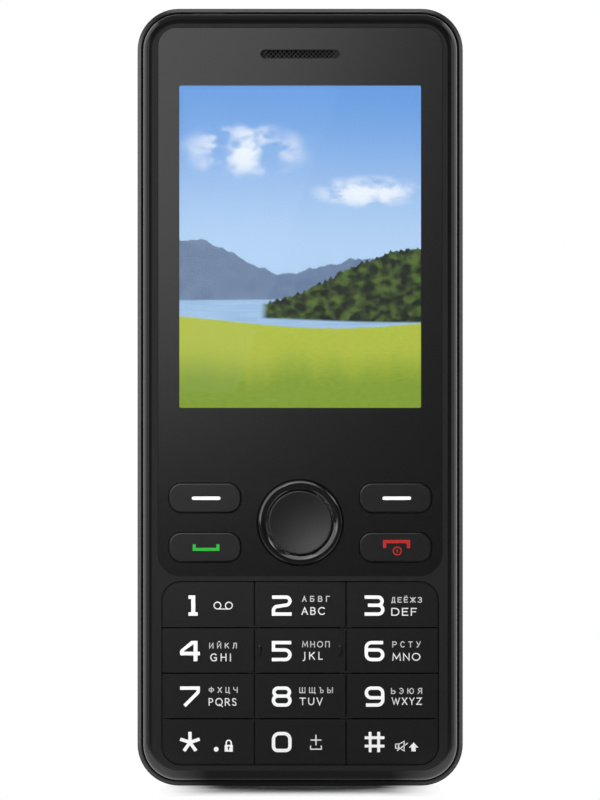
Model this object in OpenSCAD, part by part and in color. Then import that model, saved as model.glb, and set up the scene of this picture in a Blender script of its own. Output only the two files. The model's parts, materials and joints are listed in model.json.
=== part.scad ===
// Keypad mobile phone, standing on its lower end with the front facing -Y.
// Every piece is drawn in a front-view frame: x to the right, y up the length
// from the lower end, z forward from the back face. place() stands it up.

/* [Body] */
// Overall width across the rear cover, mm
body_w = 58.2; // [57.4:0.1:64]
// Overall length, mm
body_h = 139; // [137:0.5:150]
// Corner radius of the outline seen from the front, mm
corner_r = 7.4; // [6:0.1:9]
// Rounding of the back edge, mm
back_edge_r = 2.6; // [2:0.1:3]
// Depth of the rear cover from back face to rim, mm
cover_depth = 9.2; // [8.6:0.1:9.8]
// Wall of the rear cover, mm
cover_wall = 0.8; // [0.7:0.05:1]
// Thickness of the rear cover's back, mm
cover_back = 1; // [0.9:0.05:1.3]
// Bevel of the rear cover's rim, mm
rim_bevel = 0.6; // [0.3:0.05:0.65]
// Clearance between the rear cover and the housings, mm
cover_gap = 0.25; // [0.2:0.05:0.35]
// Rounding of the front housing's outer edge, mm
frame_edge_r = 1.7; // [0.8:0.1:1.8]
// Wall of the front and rear housings, mm
housing_wall = 1.2; // [1:0.05:1.3]
// Parting gap between the front and rear housings, mm
parting_gap = 0.1; // [0.05:0.05:0.2]

/* [Front panel] */
// Margin from the body's side to the panel, mm
panel_side = 3.75; // [3.5:0.05:4.5]
// Rib between the number keys and the panel, mm
panel_rib = 1.2; // [1.1:0.05:2]
// Drop of the panel's upper edge below the body's top end, mm
panel_drop = 3.5; // [3.2:0.1:4.5]
// Upper corner radius of the panel, mm
panel_r_top = 3.2; // [1:0.1:5]
// Lower corner radius of the panel, mm
panel_r_low = 4; // [1:0.1:5]
// Thickness of the panel, mm
panel_t = 1.2; // [1.1:0.05:1.5]
// Clearance around the panel in its recess, mm
panel_gap = 0.12; // [0.08:0.01:0.2]
// Adhesive tape under the panel, mm
tape_t = 0.1; // [0.05:0.05:0.2]
// Floor of the front housing under the panel, mm
ledge_t = 0.65; // [0.5:0.05:1]

/* [Display] */
// Width of the active area, mm
display_w = 43.2; // [38:0.1:43.4]
// Height of the active area, mm
display_h = 57.6; // [50:0.1:58.4]
// Drop of the active area's upper edge below the body's top end, mm
display_drop = 13.8; // [13.4:0.1:14.6]
// Step of the clear pane held under the panel, mm
pane_step = 1.2; // [0.9:0.1:1.6]
// Thickness of the pane inside the panel's opening, mm
pane_front_t = 0.45; // [0.3:0.05:0.7]
// Clearance around the pane, mm
pane_gap = 0.03; // [0.02:0.01:0.08]
// Border of the display module beside the active area, mm
lcd_border = 3.4; // [2.8:0.1:3.5]
// Lower border of the display module, mm
lcd_low_border = 8; // [6:0.1:9]
// Upper border of the display module, mm
lcd_top_border = 2.2; // [1.6:0.1:2.4]
// Width of the display's flat cable, mm
flex_w = 20; // [14:0.5:26]
// Thickness of the display module, mm
lcd_t = 2.2; // [2:0.1:2.8]
// Foam gasket over the display module, mm
gasket_t = 0.35; // [0.2:0.05:0.6]

/* [Earpiece] */
// Width of the slot, mm
ear_w = 14.2; // [10:0.1:18]
// Height of the slot, mm
ear_h = 1.6; // [1.4:0.05:2]
// Drop of the slot's middle below the body's top end, mm
ear_drop = 8.15; // [7.6:0.05:8.3]
// Thickness of the earpiece capsule, mm
ear_t = 2.1; // [1.5:0.1:2.2]

/* [Number keys] */
// Margin from the body's side to the number keys, mm
keypad_side = 4.5; // [4:0.05:6]
// Height of the number keys' lower edge above the body's lower end, mm
keypad_low = 3.9; // [3.8:0.05:5]
// Spacing of the key rows, mm
key_pitch_y = 8.13; // [7.6:0.01:8.4]
// Outer corner radius of the key field, mm
keypad_r = 3.3; // [1:0.1:4]
// Gap between keys and around them, mm
key_gap = 0.22; // [0.16:0.02:0.3]
// Rise of the number keys above the front, mm
key_proud = 0.15; // [0.05:0.05:0.4]
// Reach of the retaining flanges under the housing, mm
flange_out = 0.45; // [0.35:0.05:0.6]
// Thickness of the retaining flanges, mm
flange_t = 0.45; // [0.3:0.05:0.6]
// Width of the touch ridges on key 5, mm
ridge_w = 0.8; // [0.5:0.05:1.2]
// Length of the touch ridges on key 5, mm
ridge_l = 2.05; // [1.5:0.05:3]
// Distance of the touch ridges from the middle of key 5, mm
ridge_x = 7.2; // [6:0.1:7.3]
// Rise of the touch ridges above key 5, mm
ridge_proud = 0.3; // [0.15:0.05:0.4]

/* [Function keys] */
// Width of the soft, call and end keys, mm
fn_w = 12.9; // [11:0.1:13.4]
// Height of the soft, call and end keys, mm
fn_h = 5.28; // [5:0.02:6.4]
// Corner radius of these keys, mm
fn_r = 2.3; // [1:0.05:2.5]
// Margin from the panel's side to these keys, mm
fn_in = 1.86; // [1.4:0.02:2.2]
// Spacing of the soft key row and the call key row, mm
fn_pitch = 8.82; // [8.4:0.02:9.4]
// Gap around these keys, mm
fn_gap = 0.12; // [0.1:0.01:0.24]
// Rise of these keys above the front, mm
fn_proud = 0.28; // [0.1:0.02:0.6]
// Rounding of the key tops, mm
fn_edge_r = 0.25; // [0.1:0.05:0.4]

/* [Navigation] */
// Height of the navigation ring's middle above the panel's lower edge, mm
nav_up = 9.45; // [9.2:0.05:10.5]
// Outer radius of the ring, mm
nav_r = 7.6; // [7:0.05:7.8]
// Inner radius of the ring, mm
nav_in_r = 5.95; // [5.4:0.05:6.2]
// Clearance around the ring and around the OK key, mm
nav_gap = 0.23; // [0.2:0.01:0.3]
// Rise of the ring's crest above the front, mm
nav_proud = 0.8; // [0.5:0.05:1.2]
// Rounding of the ring's outer edge, mm
ring_edge_r = 0.65; // [0.4:0.05:0.7]
// Radius of the ring's inner slope, mm
ring_slope_r = 1.3; // [1.2:0.05:2]
// Rise of the OK key's rim above the front, mm
ok_proud = 0.45; // [0.2:0.05:0.5]
// Depth of the OK key's dish, mm
ok_dish = 0.4; // [0.1:0.05:0.6]
// Rounding of the OK key's rim, mm
ok_edge_r = 0.15; // [0.1:0.05:0.25]

/* [Key stack] */
// Thickness of the silicone mat, mm
mat_t = 0.4; // [0.3:0.05:0.5]
// Height of the plungers under the mat, mm
plunger_h = 0.6; // [0.4:0.05:0.7]
// Radius of the plungers, mm
plunger_r = 1.1; // [0.8:0.05:1.3]
// Radius of a switch dome, mm
dome_r = 2; // [1.6:0.1:2.3]
// Height of a switch dome, mm
dome_h = 0.3; // [0.2:0.05:0.4]
// Dome film, mm
film_t = 0.1; // [0.05:0.05:0.15]
// Thickness of the rocker plate under the navigation ring, mm
rocker_t = 0.4; // [0.3:0.05:0.45]
// Travel of a pressed key, mm
key_travel = 0.3; // [0.2:0.05:0.35]

/* [Battery] */
// Width of the battery, mm
battery_w = 44.5; // [38:0.5:45]
// Height of the battery, mm
battery_h = 56; // [48:0.5:57]
// Thickness of the battery, mm
battery_t = 4.2; // [3.8:0.1:4.8]
// Height of the battery's lower edge above the body's lower end, mm
battery_low = 8; // [7.8:0.1:9]
// Clearance around the battery in its bay, mm
bay_gap = 0.25; // [0.15:0.05:0.4]
// Wall and floor of the battery bay, mm
bay_wall = 0.7; // [0.6:0.05:0.8]
// Height of the battery's moulded cap, mm
battery_cap_h = 3; // [2.5:0.1:4]
// Spacing of the battery contacts, mm
contact_pitch = 3.2; // [2.8:0.1:3.4]
// Width of the battery connector, mm
plug_w = 11; // [10.5:0.1:13]

/* [Board] */
// Thickness of the main board, mm
board_t = 0.8; // [0.6:0.1:1]
// Room for components between bay floor and board, mm
part_room = 0.9; // [0.8:0.05:1.2]
// Radius of the screw bosses, mm
boss_r = 1.5; // [1.3:0.05:1.6]
// Radius of the housing screws, mm
screw_r = 0.8; // [0.6:0.05:0.8]
// Height of the lower screws above the body's lower end, mm
screw_low = 12; // [10.5:0.5:20]
// Height of the SIM bay, mm
sim_h = 15; // [14:0.5:17]
// Margin from the board's side to the shield cans, mm
can_side = 7; // [5:0.5:9]
// Margin from the battery's ends to the shield cans, mm
can_end = 5; // [4:0.5:8]
// Gap between the shield cans, mm
can_gap = 2; // [1:0.5:4]

/* [Sockets] */
// Radius of the headphone jack's bore, mm
jack_r = 1.8; // [1.75:0.01:1.85]
// Depth of the headphone jack's bore, mm
jack_depth = 13.5; // [11:0.5:14]
// Offset of the headphone jack from the middle, mm
jack_x = 16.5; // [12:0.5:17]
// Width of the USB socket, mm
usb_w = 7.5; // [7:0.1:8.5]
// Height of the USB socket, mm
usb_h = 2.5; // [2.3:0.1:2.8]
// Depth of the USB socket, mm
usb_d = 5.2; // [4:0.1:5.4]
// Offset of the microphone from the middle, mm
mic_x = 13; // [9:0.5:18]

/* [Camera and sound] */
// Drop of the camera below the body's top end, mm
camera_drop = 15; // [14.5:0.5:18]
// Radius of the camera window, mm
camera_r = 3.5; // [3:0.1:4.2]
// Offset of the flash lamp from the camera, mm
flash_off = 8; // [7.5:0.1:9]
// Radius of the flash window, mm
flash_r = 1.5; // [1.2:0.1:2]
// Drop of the loudspeaker below the body's top end, mm
speaker_drop = 39; // [36:0.5:40]
// Radius of the loudspeaker, mm
speaker_r = 8; // [6.5:0.25:8.5]
// Number of sound slots in the rear cover
speaker_slots = 5; // [3:1:6]
// Spacing of the sound slots, mm
slot_pitch = 2; // [1.6:0.1:2.2]
// Length of a sound slot, mm
slot_l = 10; // [8:0.5:12]
// Radius of the vibration motor, mm
motor_r = 2.2; // [1.8:0.1:2.25]
// Drop of the vibration motor's lower end below the body's top end, mm
motor_drop = 24; // [23:0.5:26]
// Length of the vibration motor, mm
motor_l = 8; // [7:0.5:9]
// Width of the camera's base, mm
camera_base = 8.4; // [7.8:0.1:8.6]
// Margin from the housing's inner side to the antenna, mm
antenna_side = 9; // [7:0.5:12]

/* [Hidden] */
$fn = 64;
fit = 0.05;
seat = 0.1;
ledge_clear = 0.15;
tape_clear = 0.25;
mid_y = body_h / 2;
edge_in = cover_wall + cover_gap;
frame_w = body_w - 2 * edge_in;
frame_h = body_h - 2 * edge_in;
frame_r = corner_r - edge_in;
inner_w = frame_w - 2 * housing_wall;
inner_h = frame_h - 2 * housing_wall;
inner_r = frame_r - housing_wall;
inner_low = edge_in + housing_wall;
inner_top = body_h - inner_low;

// depth levels, from the back face forward
z_rear0 = cover_back + cover_gap;
z_rear_in = z_rear0 + 0.9;
z_cell0 = z_rear0;
z_cell1 = z_cell0 + battery_t;
z_floor0 = z_cell1 + seat;
z_floor1 = z_floor0 + bay_wall;
z_board0 = z_floor1 + part_room;
z_board1 = z_board0 + board_t;
z_front0 = z_board0 + parting_gap;
z_film1 = z_board1 + film_t;
z_dome1 = z_film1 + dome_h;
z_mat0 = z_dome1 + plunger_h;
z_mat1 = z_mat0 + mat_t;
z_lcd0 = z_board1 + 0.4;
z_lcd1 = z_lcd0 + lcd_t;
z_plate0 = z_lcd1 + gasket_t;
z_pocket = z_plate0 - key_travel - 2 * seat;
z_ledge = z_plate0 + ledge_t;
z_panel0 = z_ledge + tape_t;
front_z = z_panel0 + panel_t;
overall_t = front_z + nav_proud;
z_fn0 = z_plate0 - flange_t - seat;
z_ring0 = z_mat1 + rocker_t + 0.32;
z_ok0 = z_ring0 + 0.5;

// places up the length
keypad_w = body_w - 2 * keypad_side;
keypad_h = 4 * key_pitch_y;
key_pitch_x = keypad_w / 3;
panel_low = keypad_low + keypad_h + panel_rib;
panel_w = body_w - 2 * panel_side;
panel_h = body_h - panel_drop - panel_low;
panel_mid = panel_low + panel_h / 2;
nav_y = panel_low + nav_up;
fn_x = panel_w / 2 - fn_in - fn_w / 2;
display_y = body_h - display_drop - display_h / 2;
lcd_w = display_w + 2 * lcd_border;
lcd_low = display_y - display_h / 2 - lcd_low_border;
lcd_top = body_h - display_drop + lcd_top_border;
lcd_h = lcd_top - lcd_low;
lcd_y = (lcd_low + lcd_top) / 2;
lcd_rib_in = 6;
ear_y = body_h - ear_drop;
ear_cap_h = 2 * (ear_y - lcd_top - 0.5);
ear_cap_w = ear_w - 1.2;
screw_x = inner_w / 2 - boss_r + 0.1;
screw_mid = lcd_low - boss_r - 0.3;
screw_top = inner_top - boss_r - 3.8;
screw_top_x = inner_w / 2 - boss_r - 2.3;
spots = [for (s = [-1, 1]) each [
  [s * screw_x, screw_low], [s * screw_x, screw_mid], [s * screw_top_x, screw_top]
]];
column_r = boss_r + 0.65;
board_w = 2 * (screw_x - column_r);
board_low = inner_low + 0.8;
board_top = inner_top - 3.6;
mat_low = board_low + 0.3;
mat_top = nav_y + nav_r + nav_gap + 1.6;
mat_w = board_w - 0.4;
bay_w = battery_w + 2 * bay_gap;
bay_h = battery_h + 2 * bay_gap;
bay_y = battery_low + battery_h / 2;
bay_top = bay_y + bay_h / 2;
plug_y = bay_top + 0.6;
plug_d = 3;
z_head = z_board0 - 2.4;
z_mic = z_board0 - 0.9;
sim_low = plug_y + plug_d + 0.6;
sim_y = sim_low + sim_h / 2;
sim_w = board_w - 1.6;
camera_y = body_h - camera_drop;
speaker_y = body_h - speaker_drop;
jack_body_z0 = z_rear_in + 0.1;
jack_body_z1 = z_board0 - fit;
jack_z = (jack_body_z0 + jack_body_z1) / 2;
usb_z = z_board0 - fit - usb_h / 2;
usb_y0 = edge_in + 0.15;
mic_y = inner_low + 2.4;
motor_y = body_h - motor_drop;
motor_z = z_rear_in + 0.15 + motor_r;
weight_r = motor_r - 0.15;
nav_mid_r = (nav_r + nav_in_r) / 2;
key_rows = [0, 1, 2, 3];
key_cols = [-1, 0, 1];

// middles of all switches: number keys, function keys, OK, four directions
num_spots = [for (r = key_rows, c = key_cols)
  [c * key_pitch_x, keypad_low + (r + 0.5) * key_pitch_y]];
fn_spots = [for (sx = [-1, 1], sy = [-1, 1]) [sx * fn_x, nav_y + sy * fn_pitch / 2]];
dir_spots = [for (a = [0, 90, 180, 270])
  [nav_mid_r * cos(a), nav_y + nav_mid_r * sin(a)]];

// stands a piece up: length along +Z, front towards -Y
module place() {
  translate([0, overall_t / 2, 0]) rotate([90, 0, 0]) children();
}

// a flat shape carried from one depth to another
module slab(z0, z1) {
  translate([0, 0, z0]) linear_extrude(z1 - z0) children();
}

module rect(w, h, y = 0) {
  translate([0, y]) square([w, h], center = true);
}

module round_rect(w, h, r, y = 0) {
  translate([0, y]) {
    square([w - 2 * r, h], center = true);
    square([w, h - 2 * r], center = true);
    for (sx = [-1, 1], sy = [-1, 1])
      translate([sx * (w / 2 - r), sy * (h / 2 - r)]) circle(r);
  }
}

module stadium(w, h) {
  square([w - h, h], center = true);
  for (s = [-1, 1]) translate([s * (w - h) / 2, 0]) circle(h / 2);
}

// half section of a block with rounded back and front edges, or a bevelled front edge
module edge_profile(half, t, back_r, front_r, bevel = 0) {
  translate([0, back_r]) square([half, t - back_r - front_r - bevel]);
  if (bevel > 0)
    translate([0, t - bevel]) polygon([[0, 0], [half, 0], [half - bevel, bevel], [0, bevel]]);
  if (back_r > 0) {
    square([half - back_r, t - bevel]);
    translate([half - back_r, back_r]) circle(back_r);
  }
  if (front_r > 0) {
    square([half - front_r, t]);
    translate([half - front_r, t - front_r]) circle(front_r);
  }
}

// block with round corners and rounded back and front edges, or a bevelled front edge
module soft_block(w, h, r, t, back_r, front_r, bevel = 0) {
  run_w = w - 2 * r;
  run_h = h - 2 * r;
  for (k = [0:3])
    translate([(k == 0 || k == 3 ? 1 : -1) * run_w / 2, (k < 2 ? 1 : -1) * run_h / 2, 0])
      rotate([0, 0, 90 * k]) rotate_extrude(angle = 90) edge_profile(r, t, back_r, front_r, bevel);
  for (s = [0, 180]) rotate([0, 0, s]) {
    translate([run_w / 2, run_h / 2, 0]) rotate([90, 0, 0])
      linear_extrude(run_h) edge_profile(r, t, back_r, front_r, bevel);
    translate([-run_w / 2, run_h / 2, 0]) rotate([90, 0, 90])
      linear_extrude(run_w) edge_profile(r, t, back_r, front_r, bevel);
  }
  translate([-run_w / 2, -run_h / 2, 0]) cube([run_w, run_h, t]);
}

module box(w, h, y, z0, z1, x = 0) {
  translate([x - w / 2, y - h / 2, z0]) cube([w, h, z1 - z0]);
}

// rod along the length, from one height to another
module rod(r, x, z, y0, y1) {
  translate([x, y0, z]) rotate([-90, 0, 0]) cylinder(h = y1 - y0, r = r);
}

// outline of the front panel, grown all round
module panel_shape(g) {
  w = panel_w + 2 * g;
  h = panel_h + 2 * g;
  r0 = panel_r_low + g;
  r1 = panel_r_top + g;
  translate([0, panel_mid]) {
    translate([r0 - w / 2, -h / 2]) square([w - 2 * r0, h / 2 + 1]);
    translate([-w / 2, r0 - h / 2]) square([w, h - r0 - r1]);
    translate([r1 - w / 2, 0]) square([w - 2 * r1, h / 2]);
    for (s = [-1, 1]) {
      translate([s * (w / 2 - r0), r0 - h / 2]) circle(r0);
      translate([s * (w / 2 - r1), h / 2 - r1]) circle(r1);
    }
  }
}

// openings for the function keys and the navigation ring, widened beyond their gaps
module nav_openings(g) {
  f = fn_gap + g;
  for (p = fn_spots) translate(p) round_rect(fn_w + 2 * f, fn_h + 2 * f, fn_r + f);
  translate([0, nav_y]) circle(nav_r + nav_gap + g);
}

module keypad_shape(g) {
  round_rect(keypad_w + 2 * g, keypad_h + 2 * g, keypad_r + g, keypad_low + keypad_h / 2);
}

module boss_shape(r) {
  for (p = spots) translate(p) circle(r);
}

module front_housing() {
  color("#2d2e30") place() difference() {
    union() {
      difference() {
        translate([0, mid_y, z_front0])
          soft_block(frame_w, frame_h, frame_r, front_z - z_front0, 0, frame_edge_r);
        slab(z_front0 - 1, z_plate0) round_rect(inner_w, inner_h, inner_r, mid_y);
      }
      slab(z_front0, z_plate0 + 0.2) boss_shape(boss_r);
      // ribs that tie the side bosses to the wall
      for (p = spots) if (p[1] < screw_top)
        box(boss_r + 0.6, boss_r, p[1], z_front0, z_plate0 + 0.2,
            sign(p[0]) * (screw_x + boss_r / 2 + 0.2));
      // ribs that locate the display module
      for (s = [-1, 1])
        box(0.6, lcd_h - 2 * lcd_rib_in, lcd_y, z_lcd0 + 0.6, z_plate0 + 0.2, s * (lcd_w / 2 + seat + 0.3));
      // pocket ribs of the earpiece
      for (s = [-1, 1])
        box(0.7, ear_cap_h, ear_y, z_plate0 - ear_t, z_plate0 + 0.2,
            s * (ear_cap_w / 2 + seat + 0.35));
      box(ear_cap_w + 2 * seat + 1.4, 0.7, ear_y + ear_cap_h / 2 + seat + 0.35,
          z_plate0 - ear_t, z_plate0 + 0.2);
    }
    slab(z_ledge, front_z + 1) panel_shape(panel_gap);
    slab(z_plate0 - 1, z_ledge + 1) round_rect(display_w + pane_step, display_h + pane_step, 0.6, display_y);
    slab(z_plate0 - 1, z_ledge + 1) translate([0, ear_y]) stadium(ear_w - 1.6, ear_h - 0.3);
    slab(z_plate0 - 1, z_ledge + 1) nav_openings(ledge_clear);
    slab(z_pocket, front_z + 1) keypad_shape(key_gap);
    slab(z_pocket, z_plate0 + flange_t + 0.2) keypad_shape(flange_out + 0.2);
    slab(z_front0 - 1, z_plate0 - 0.7) boss_shape(screw_r + 0.02);
  }
}

module front_panel() {
  color("#303234") place() difference() {
    slab(z_panel0, front_z) panel_shape(0);
    slab(z_panel0 - 1, front_z + 1) round_rect(display_w, display_h, 0.3, display_y);
    slab(z_panel0 - 1, front_z - pane_front_t)
      round_rect(display_w + 2 * pane_step, display_h + 2 * pane_step, 0.6, display_y);
    slab(z_panel0 - 1, front_z + 1) translate([0, ear_y]) stadium(ear_w, ear_h);
    slab(z_panel0 - 1, front_z + 1) nav_openings(0);
  }
}

module panel_tape() {
  color("#1c1c1e") place() difference() {
    slab(z_ledge, z_panel0) panel_shape(-tape_clear);
    slab(z_ledge - 1, z_panel0 + 1)
      round_rect(display_w + pane_step + 0.2, display_h + pane_step + 0.2, 0.6, display_y);
    slab(z_ledge - 1, z_panel0 + 1) translate([0, ear_y]) stadium(ear_w - 1.2, ear_h - 0.2);
    slab(z_ledge - 1, z_panel0 + 1) nav_openings(tape_clear);
  }
}

module display_window() {
  color("#20262c") place() {
    slab(z_panel0, front_z - pane_front_t - pane_gap)
      round_rect(display_w + 2 * (pane_step - pane_gap), display_h + 2 * (pane_step - pane_gap),
                 0.6 - pane_gap, display_y);
    slab(z_panel0, front_z)
      round_rect(display_w - 2 * pane_gap, display_h - 2 * pane_gap, 0.3 - pane_gap, display_y);
  }
}

module earpiece_mesh() {
  pitch = 0.62;
  count = floor((ear_w - ear_h) / pitch);
  color("#1a1b1c") place() difference() {
    slab(z_panel0, front_z - 0.55) translate([0, ear_y]) stadium(ear_w - 2 * fit, ear_h - 2 * fit);
    for (r = [-1, 0, 1], k = [0:count - 1 - abs(r)])
      translate([(k - (count - 1 - abs(r)) / 2) * pitch, ear_y + r * ear_h * 0.28, z_panel0 - 1])
        cylinder(h = panel_t + 1, r = 0.17, $fn = 16);
  }
}

module earpiece() {
  z1 = z_plate0 - 0.25;
  color("#3a3b3d") place() difference() {
    union() {
      slab(z1 - ear_t, z1 - 0.5) round_rect(ear_cap_w, ear_cap_h, 1.2, ear_y);
      slab(z1 - 0.6, z1) round_rect(ear_cap_w - 0.8, ear_cap_h - 0.8, 1, ear_y);
    }
    for (k = [-2:2]) translate([k * 1.8, ear_y, z1 - 0.4]) cylinder(h = 1, r = 0.45);
  }
}

module earpiece_gasket() {
  color("#232325") place() difference() {
    slab(z_plate0 - 0.25, z_plate0) round_rect(ear_cap_w - 0.8, ear_cap_h - 0.8, 1, ear_y);
    slab(z_plate0 - 1, z_plate0 + 1) translate([0, ear_y]) stadium(ear_w - 2.4, ear_h + 0.6);
  }
}

module display_gasket() {
  color("#28292b") place() difference() {
    slab(z_lcd1, z_plate0) rect(display_w + 4.4, display_h + 4, display_y);
    slab(z_lcd1 - 1, z_plate0 + 1) rect(display_w + 1.6, display_h + 1.6, display_y);
  }
}

module lcd_glass() {
  color("#15181c") place() slab(z_lcd0 + 1, z_lcd1) rect(lcd_w - 1.4, lcd_h - 1.4, lcd_y);
}

module lcd_tray() {
  color("#b9bcbf") place() difference() {
    slab(z_lcd0, z_lcd1) round_rect(lcd_w, lcd_h, 0.8, lcd_y);
    slab(z_lcd0 + 0.3, z_lcd1 + 1) rect(lcd_w - 1.2, lcd_h - 1.2, lcd_y);
  }
}

module light_guide() {
  color("#e6e8ea") place() difference() {
    slab(z_lcd0 + 0.3, z_lcd0 + 0.95) rect(lcd_w - 1.4, lcd_h - 1.4, lcd_y);
    // notches over the lamps along the lower edge
    for (k = [-2:2]) box(3, 2, lcd_low + 1.2, z_lcd0, z_lcd0 + 2, k * 8);
  }
}

module lcd_flex() {
  flex_t = 0.14;
  color("#c98a3a") place() {
    box(flex_w, 12, lcd_low + 5.6, z_board1 + seat, z_board1 + seat + flex_t);
    box(flex_w, flex_t, lcd_low - 0.33, z_board1 + seat, z_lcd1 - 0.4);
    box(flex_w + 2, 3, lcd_low + 13.1, z_board1, z_board1 + 0.35);
  }
}

module keypad_mat() {
  rim = 1;
  mat_mid = (mat_low + mat_top) / 2;
  mat_l = mat_top - mat_low;
  color("#d5d7d8") place() difference() {
    union() {
      slab(z_mat0, z_mat1) round_rect(mat_w, mat_l, 2, mat_mid);
      difference() {
        slab(z_film1, z_mat0 + 0.1) round_rect(mat_w, mat_l, 2, mat_mid);
        slab(z_film1 - 1, z_mat0) rect(mat_w - 2 * rim, mat_l - 2 * rim, mat_mid);
      }
      for (p = concat(num_spots, fn_spots, dir_spots, [[0, nav_y]]))
        translate([p[0], p[1], z_dome1]) cylinder(h = plunger_h + 0.1, r = plunger_r);
      for (p = num_spots) box(key_pitch_x - 4, key_pitch_y - 2.5, p[1], z_mat1 - 0.1, z_plate0, p[0]);
      for (p = fn_spots) box(fn_w - 3, fn_h - 1.6, p[1], z_mat1 - 0.1, z_fn0, p[0]);
      translate([0, nav_y, z_mat1 - 0.1]) cylinder(h = z_ok0 - z_mat1 + 0.1, r = nav_in_r * 0.6);
    }
    // air channels between the rows
    for (r = [1:3]) box(2, 0.8, keypad_low + r * key_pitch_y, z_mat0 - 1, z_mat1 + 1, -key_pitch_x / 2);
    for (r = [1:3]) box(2, 0.8, keypad_low + r * key_pitch_y, z_mat0 - 1, z_mat1 + 1, key_pitch_x / 2);
  }
}

module dome_sheet() {
  ball_r = (dome_r * dome_r + dome_h * dome_h) / (2 * dome_h);
  color("#cfd2d4") place() {
    slab(z_board1, z_film1) rect(mat_w, mat_top - mat_low, (mat_low + mat_top) / 2);
    for (p = concat(num_spots, fn_spots, dir_spots, [[0, nav_y]]))
      translate([p[0], p[1], z_film1]) rotate_extrude() intersection() {
        translate([0, dome_h - ball_r]) circle(ball_r, $fn = 200);
        translate([0, -film_t / 2]) square([dome_r, dome_h * 2]);
      }
  }
}

module main_board() {
  board_mid = (board_low + board_top) / 2;
  color("#1f5b3a") place() difference() {
    slab(z_board0, z_board1) round_rect(board_w, board_top - board_low, 1.5, board_mid);
    slab(z_board0 - 1, z_board1 + 1) boss_shape(boss_r + 0.25);
    // via holes along the sides
    for (s = [-1, 1], k = [0:5])
      translate([s * (board_w / 2 - 1.2), screw_mid + 8 + k * 9, z_board0 - 1])
        cylinder(h = board_t + 2, r = 0.5);
  }
}

module shield_cans() {
  can_w = board_w - 2 * can_side;
  can_h = (battery_h - 2 * can_end - can_gap) / 2;
  skin = 0.2;
  color("#c4c7ca") place() for (k = [0, 1]) {
    can_y = battery_low + can_end + can_h / 2 + k * (can_h + can_gap);
    difference() {
      slab(z_floor1 + seat, z_board0) round_rect(can_w, can_h, 0.8, can_y);
      slab(z_floor1 + seat + skin, z_board0 + 1) rect(can_w - 2 * skin, can_h - 2 * skin, can_y);
      for (i = [-3:3], j = [-1, 0, 1])
        translate([i * can_w / 9, can_y + j * can_h / 4, z_floor1]) cylinder(h = skin + 0.3, r = 0.6);
    }
  }
}

// sheet-metal card socket under the board
module card_cage(w, h, t, x, y) {
  z0 = z_board0 - t;
  difference() {
    box(w, h, y, z0, z_board0, x);
    box(w - 1.2, h, y - 1, z0 + 0.3, z_board0 - 0.3, x);
    box(w * 0.45, h * 0.4, y - h * 0.12, z0 - 1, z0 + 0.5, x);
    for (s = [-1, 1]) box(w * 0.12, h * 0.3, y + h * 0.25, z0 - 1, z0 + 0.5, x + s * w * 0.3);
  }
}

module sim_sockets() {
  cage_w = sim_w * 0.35;
  color("#c9ccce") place() for (k = [0, 1])
    card_cage(cage_w, sim_h - 1.2, 1.5, -sim_w / 2 + 0.5 + cage_w / 2 + k * (cage_w + 0.6), sim_y);
}

module card_socket() {
  cage_w = sim_w * 0.25;
  color("#bfc2c4") place()
    card_cage(cage_w, sim_h - 1.2, 1.3, sim_w / 2 - 0.5 - cage_w / 2, sim_y);
}

module battery_plug() {
  plug_z0 = z_cell0 + 1.1;
  color("#26282a") place() difference() {
    union() {
      box(plug_w, plug_d, plug_y + plug_d / 2, plug_z0, z_board0);
      for (k = [-1, 0, 1])
        translate([k * contact_pitch - 0.6, plug_y + 0.5, plug_z0 + 1.1]) rotate([0, 90, 0])
          cylinder(h = 1.2, r = 0.5 + 0.6 + bay_gap - seat);
    }
    for (k = [-1, 0, 1], s = [-1, 1])
      box(0.3, 1.2, plug_y, plug_z0 - 1, z_board0 - 1.5, k * contact_pitch + s * 0.8);
  }
}

// micro socket outline: square upper corners, chamfered lower ones
module usb_shape(w, h) {
  c = h * 0.35;
  polygon([[-w / 2 + c, -h / 2], [w / 2 - c, -h / 2], [w / 2, -h / 2 + c],
           [w / 2, h / 2], [-w / 2, h / 2], [-w / 2, -h / 2 + c]]);
}

module usb_socket() {
  skin = 0.3;
  color("#b4b7ba") place() translate([0, usb_y0, usb_z]) {
    difference() {
      translate([0, usb_d, 0]) rotate([90, 0, 0]) linear_extrude(usb_d) usb_shape(usb_w, usb_h);
      translate([0, usb_d - 0.5, 0]) rotate([90, 0, 0])
        linear_extrude(usb_d) usb_shape(usb_w - 2 * skin, usb_h - 2 * skin);
    }
    translate([-usb_w * 0.26, 0.6, 0.05]) cube([usb_w * 0.52, usb_d - 0.7, 0.5]);
  }
}

module headphone_jack() {
  jack_w = 2 * jack_r + 2.2;
  y1 = inner_top - 0.15;
  color("#242527") place() difference() {
    box(jack_w, jack_depth + 0.8, y1 - (jack_depth + 0.8) / 2, jack_body_z0, jack_body_z1, -jack_x);
    rod(jack_r, -jack_x, jack_z, y1 - jack_depth, y1 + 1);
    // windows over the contact springs
    for (k = [0, 1])
      box(1.4, 2.2, y1 - 4.5 - k * 5, jack_body_z0 - 1, jack_body_z0 + 0.3, -jack_x - 1.6 + k * 3.2);
  }
}

module microphone() {
  color("#9a9da0") place() difference() {
    translate([mic_x, mic_y, z_board0 - 1.6]) cylinder(h = 1.6 - fit, r = 2);
    translate([mic_x, mic_y, z_board0 - 2]) cylinder(h = 0.7, r = 0.5);
  }
}

module loudspeaker() {
  z0 = z_rear_in + 0.2;
  room = z_board0 - 0.5 - z0;
  color("#2a2b2d") place() translate([0, speaker_y, z0]) rotate_extrude() difference() {
    union() {
      square([speaker_r, room * 0.55]);
      square([speaker_r * 0.72, room]);
    }
    // cone and dust cap
    translate([speaker_r * 0.5, -speaker_r * 0.5]) circle(speaker_r * 0.56);
  }
}

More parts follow.
